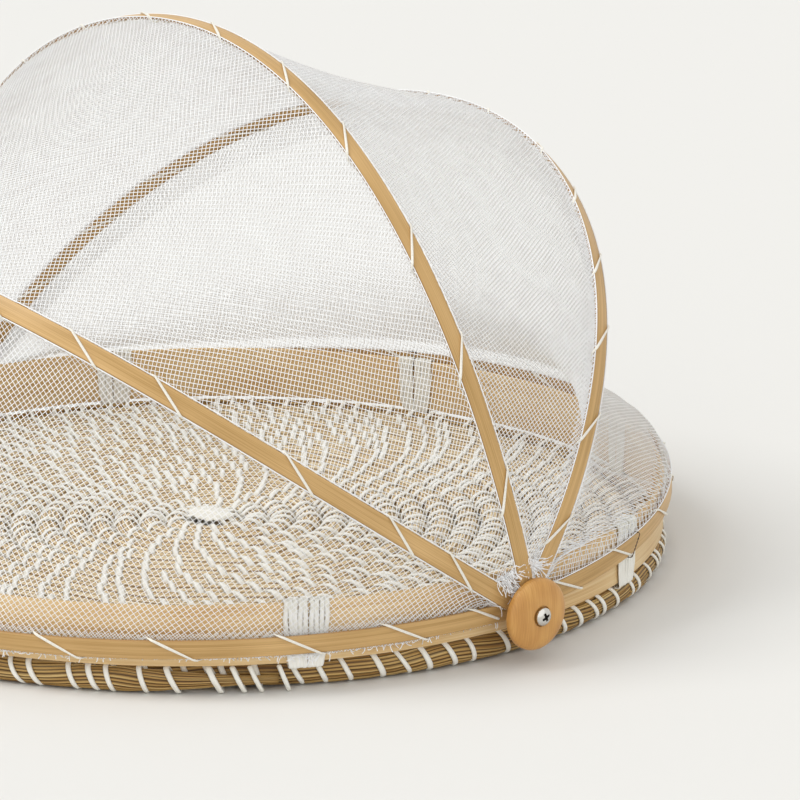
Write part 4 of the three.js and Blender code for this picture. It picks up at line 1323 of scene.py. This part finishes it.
class FOODCOVER_OT_cords(bpy.types.Operator):
    """Wind the white cord round each hoop"""
    bl_idname = "foodcover.cords"
    bl_label = "Whipping cords"

    def execute(self, context):
        material = cord_material()
        lay = context.scene.food_cover_sizes.cord_lay
        for name, hoop in HOOPS.items():
            points, guide = cord_path(hoop, CORD_STARTS[name] * MM)
            tube = flat_cord(points, guide, *CORD_SECTION, lay)
            made = piece(f"{name}_hoop_cord", tube, material)
            settle(made, BODIES[name], "cotton_cord", f"{name}_cord")
        return {"FINISHED"}


class FOODCOVER_OT_nets(bpy.types.Operator):
    """Hang the four net panels between the hoops"""
    bl_idname = "foodcover.nets"
    bl_label = "Net panels"

    def execute(self, context):
        sizes = context.scene.food_cover_sizes
        material = net_material()
        start, taut, slack = sizes.net_start, (sizes.net_sag, 1), (sizes.rear_net_sag, 0.4)
        for number, (name, low, high, base, sag, hem) in enumerate((
                ("front_net", "lip", "front", 0.2, taut, {"low_hem": 0.5 * sizes.hem}),
                ("crown_front_net", "front", "crown", 1.0, taut, None),
                ("crown_back_net", "crown", "back", 1.0, taut, {"high_hem": sizes.hem}),
                ("rear_net", "back", "rear", 0.0, slack, {"low_hem": 2.3 * sizes.hem}))):
            rng = np.random.default_rng(SEED + 10 + number)
            panel = Panel(low, high, base, *sag)
            settings = (panel, sizes.net_pitch, sizes.net_yarn, start, rng)
            parts = [net_lattice(*settings), *gathered_ends(panel, start, PIVOT_ENDS, rng),
                     *edge_threads(panel, start + 4 * MM, None if low == "lip" else 0.0, 1.0)]
            if "crown" in (low, high):
                parts += gathered_ends(panel, start + 8 * MM, CROWN_ENDS, rng, 4.5 * MM, 1.0)
            if low == "lip":
                parts.append(frayed_threads(sizes.frays, rng))
            if hem:
                parts.append(net_lattice(*settings, **hem, inward=0.5 * MM, phase=0.5))
            self.hang(name, low, high, joined(parts), material, panel, start)
        return {"FINISHED"}

    def hang(self, name, low, high, surface, material, panel, start):
        """Makes a panel's threads into one flat-shaded piece in place, on no body, and hides the
        panel's node. The share of the free net at each point is taken off and not used, and the
        grid of the panel's points that it makes at the end is not used either. low and high are
        not used."""
        share = surface.values.pop("share")
        made = piece(f"{name}_threads", surface, material)
        made.data.shade_flat()
        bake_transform(made)
        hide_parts(name)
        begin = panel_start(panel, start)
        rows, columns = 200, 60
        t = np.linspace(begin, math.pi - begin, rows)[:, None] * np.ones(columns)
        _, lengths = panel_line(panel, t)
        grid, _ = panel_point(panel, t, lengths[-1] * np.linspace(0, 1, columns))


class FOODCOVER_OT_pivots(bpy.types.Operator):
    """Turn the knobs and finish the screws, washers and nuts"""
    bl_idname = "foodcover.pivots"
    bl_label = "Pivots"

    def execute(self, context):
        wood, steel = knob_material(), steel_material()
        for name, side in (("right", 1), ("left", -1)):
            knob = piece(f"{name}_knob_wood", self.knob(side), wood, sharp=40)
            settle(knob, "tray", "turned_wood", f"{name}_knob")
            screw = piece(f"{name}_screw_steel", self.screw(side), steel, sharp=35)
            settle(screw, "tray", "screw_steel", f"{name}_screw")
            for part in ("washer", "nut"):
                node = frame["nodes"][f"{name}_{part}"]
                node.data.materials.clear()
                node.data.materials.append(steel)
        return {"FINISHED"}

    def knob(self, side):
        """A closed profile turned about the pivot axis: flat back, round edge, a dome whose
        radius goes with cos a to the power 0.9 and its height with sin a to the power 0.85,
        and a shallow seat round the screw."""
        foot, top = KNOB_LOW.x, KNOB_HIGH.x
        radius = (KNOB_HIGH.z - KNOB_LOW.z) / 2
        bore, seat, edge, seat_depth = SCREW_RADIUS + TOUCH_GAP, 4.5 * MM, 1.1 * MM, 0.9 * MM
        start = foot + edge + 1.0 * MM
        back = np.linspace(-math.pi / 2, 0, 6)
        dome = np.linspace(0, math.pi / 2, 22)[1:-1]
        profile = [(bore, foot)]
        profile += [(radius - edge + edge * math.cos(a), foot + edge + edge * math.sin(a))
                    for a in back]
        profile += [(seat + (radius - seat) * math.cos(a) ** 0.9,
                     start + (top - start) * math.sin(a) ** 0.85) for a in dome]
        profile += [(seat + 0.2 * MM, top - 0.02 * MM), (seat, top - 0.25 * MM),
                    (seat - 0.1 * MM, top - seat_depth), (bore, top - seat_depth)]
        return skin(lathe(profile, side, 96), rows_closed=True)

    def screw(self, side):
        """A pan head on a polar grid, whose face drops into a cross recess: the depth falls off
        from the middle, and its walls slope."""
        top, head = SCREW_TOP, SCREW_HEAD_RADIUS
        seat = top - SCREW_HEAD_HEIGHT
        rows = np.concatenate([np.linspace(0.06, 2.5, 26), np.linspace(2.7, 3.98, 9)]) * MM
        dome = top - SCREW_HEAD_HEIGHT * 0.62 * (rows / head) ** 3.4
        profile = np.stack([rows, dome], -1)
        shank = np.array([[head, dome[-1] - 0.15 * MM], [head, seat + 0.1 * MM],
                          [head - 0.1 * MM, seat], [SCREW_RADIUS, seat],
                          [SCREW_RADIUS, SCREW_TIP + 0.5 * MM],
                          [SCREW_RADIUS - 0.5 * MM, SCREW_TIP]])
        grid = lathe(np.concatenate([profile, shank]), side, 120)
        y, z = grid[..., 1], grid[..., 2] - PIVOT_HEIGHT
        turn = CROSS_TURN
        p, q = y * math.cos(turn) + z * math.sin(turn), -y * math.sin(turn) + z * math.cos(turn)
        radius = np.hypot(p, q)
        small, large = np.minimum(abs(p), abs(q)), np.maximum(abs(p), abs(q))
        arm = 1 - smoothstep(small, 0.42 * MM, 0.66 * MM)
        reach = 1 - smoothstep(large, 1.8 * MM, 2.2 * MM)
        core = 1 - smoothstep(radius, 0.8 * MM, 1.15 * MM)
        recess = np.maximum(arm * reach, core)
        recess *= (np.arange(grid.shape[1]) < len(rows))[None, :, None]
        grid[..., 0] -= side * recess * (CROSS_DEPTH - 0.25 * radius)
        # recess also marks the painted shade of the cross recess in the steel material
        return skin(grid, recess=recess)


class FOODCOVER_OT_stage(bpy.types.Operator):
    """Set the floor, the studio light and the camera"""
    bl_idname = "foodcover.stage"
    bl_label = "Stage"

    def execute(self, context):
        self.camera(context)
        self.floor(context)
        self.lights(context)
        context.scene.view_settings.view_transform = "Standard"
        return {"FINISHED"}

    def camera(self, context):
        """A camera at the photograph's angle, given by where it stands and how it is turned."""
        stand = Vector((1170.1, -862.2, 461.3)) * MM
        yaw, pitch, roll = (math.radians(a) for a in (49.984, 15.126, 0.216))
        ahead = Vector((-math.sin(yaw) * math.cos(pitch), math.cos(yaw) * math.cos(pitch),
                        -math.sin(pitch)))
        level = Vector((math.cos(yaw), math.sin(yaw), 0))
        upright = level.cross(ahead)
        right = math.cos(roll) * level + math.sin(roll) * upright
        up = -math.sin(roll) * level + math.cos(roll) * upright
        data = bpy.data.cameras.new("camera")
        image_width, focal_pixels = 800, 3122
        data.lens = focal_pixels / image_width * data.sensor_width
        data.clip_end = 50
        camera = bpy.data.objects.new("camera", data)
        camera.matrix_world = Matrix((
            (right.x, up.x, -ahead.x, stand.x), (right.y, up.y, -ahead.y, stand.y),
            (right.z, up.z, -ahead.z, stand.z), (0, 0, 0, 1)))
        context.collection.objects.link(camera)
        context.scene.camera = camera

    def floor(self, context):
        """A pale matt floor under the mat."""
        material, tree, shader = new_material("pale_matt_paper")
        colour = context.scene.food_cover_colours.floor
        set_sockets(tree, shader, Base_Color=(*colour, 1), Roughness=0.9, Specular_IOR_Level=0.1)
        reach = 9.0
        mesh = bpy.data.meshes.new("floor")
        mesh.from_pydata([(x * reach, y * reach, 0) for x, y in (
            (-1, -1), (1, -1), (1, 1), (-1, 1))], [], [(0, 1, 2, 3)])
        mesh.materials.append(material)
        floor = bpy.data.objects.new("floor", mesh)
        context.collection.objects.link(floor)

    def lights(self, context):
        """A pale room that shows white, a soft key from high on the left and a wide fill from
        the camera's side."""
        world = bpy.data.worlds.new("room")
        world.use_nodes = True
        tree = world.node_tree
        tree.nodes.clear()
        path = add(tree, "ShaderNodeLightPath").outputs
        seen = path["Is Camera Ray"]
        for name in ("Is Glossy Ray", "Is Transmission Ray"):
            seen = add(tree, "ShaderNodeMath", {0: seen, 1: path[name]},
                       operation="MAXIMUM").outputs[0]
        strength = add(tree, "ShaderNodeMapRange", {0: seen, 3: 0.68, 4: 0.95}).outputs[0]
        room = add(tree, "ShaderNodeBackground",
                   {"Color": linear("#F7F7F5"), "Strength": strength})
        output = add(tree, "ShaderNodeOutputWorld")
        tree.links.new(room.outputs[0], output.inputs[0])
        context.scene.world = world
        for name, toward, spread, strength in (
                ("key", (-0.396, -0.472, 0.788), 27, 1.25),
                ("fill", (0.61, -0.46, 0.64), 110, 0.9)):
            data = bpy.data.lights.new(name, "SUN")
            data.angle = math.radians(spread)
            data.energy = strength
            lamp = bpy.data.objects.new(name, data)
            lamp.matrix_world = Vector(toward).to_track_quat("Z", "Y").to_matrix().to_4x4()
            context.collection.objects.link(lamp)


class FOODCOVER_PT_panel(bpy.types.Panel):
    """Lists the food cover's pieces and settings"""
    bl_idname = "FOODCOVER_PT_panel"
    bl_label = "Food cover"
    bl_space_type = "VIEW_3D"
    bl_region_type = "UI"
    bl_category = "Food cover"

    def draw(self, context):
        for group in (context.scene.food_cover_sizes, context.scene.food_cover_colours):
            for name in group.bl_rna.properties.keys():
                if name not in ("name", "rna_type"):
                    self.layout.prop(group, name)
        for operator in OPERATORS:
            self.layout.operator(operator.bl_idname)


OPERATORS = (FOODCOVER_OT_stage, FOODCOVER_OT_mat, FOODCOVER_OT_rim, FOODCOVER_OT_hoops,
             FOODCOVER_OT_cords, FOODCOVER_OT_nets, FOODCOVER_OT_pivots)
CLASSES = (FoodCoverSizes, FoodCoverColours, *OPERATORS, FOODCOVER_PT_panel)


def register():
    for item in CLASSES:
        bpy.utils.register_class(item)
    bpy.types.Scene.food_cover_sizes = bpy.props.PointerProperty(type=FoodCoverSizes)
    bpy.types.Scene.food_cover_colours = bpy.props.PointerProperty(type=FoodCoverColours)


def unregister():
    del bpy.types.Scene.food_cover_colours
    del bpy.types.Scene.food_cover_sizes
    for item in reversed(CLASSES):
        bpy.utils.unregister_class(item)


def main():
    register()
    bpy.ops.foodcover.stage()
    bpy.ops.foodcover.mat()
    bpy.ops.foodcover.rim()
    bpy.ops.foodcover.hoops()
    bpy.ops.foodcover.cords()
    bpy.ops.foodcover.nets()
    bpy.ops.foodcover.pivots()


if __name__ == "__main__":
    main()
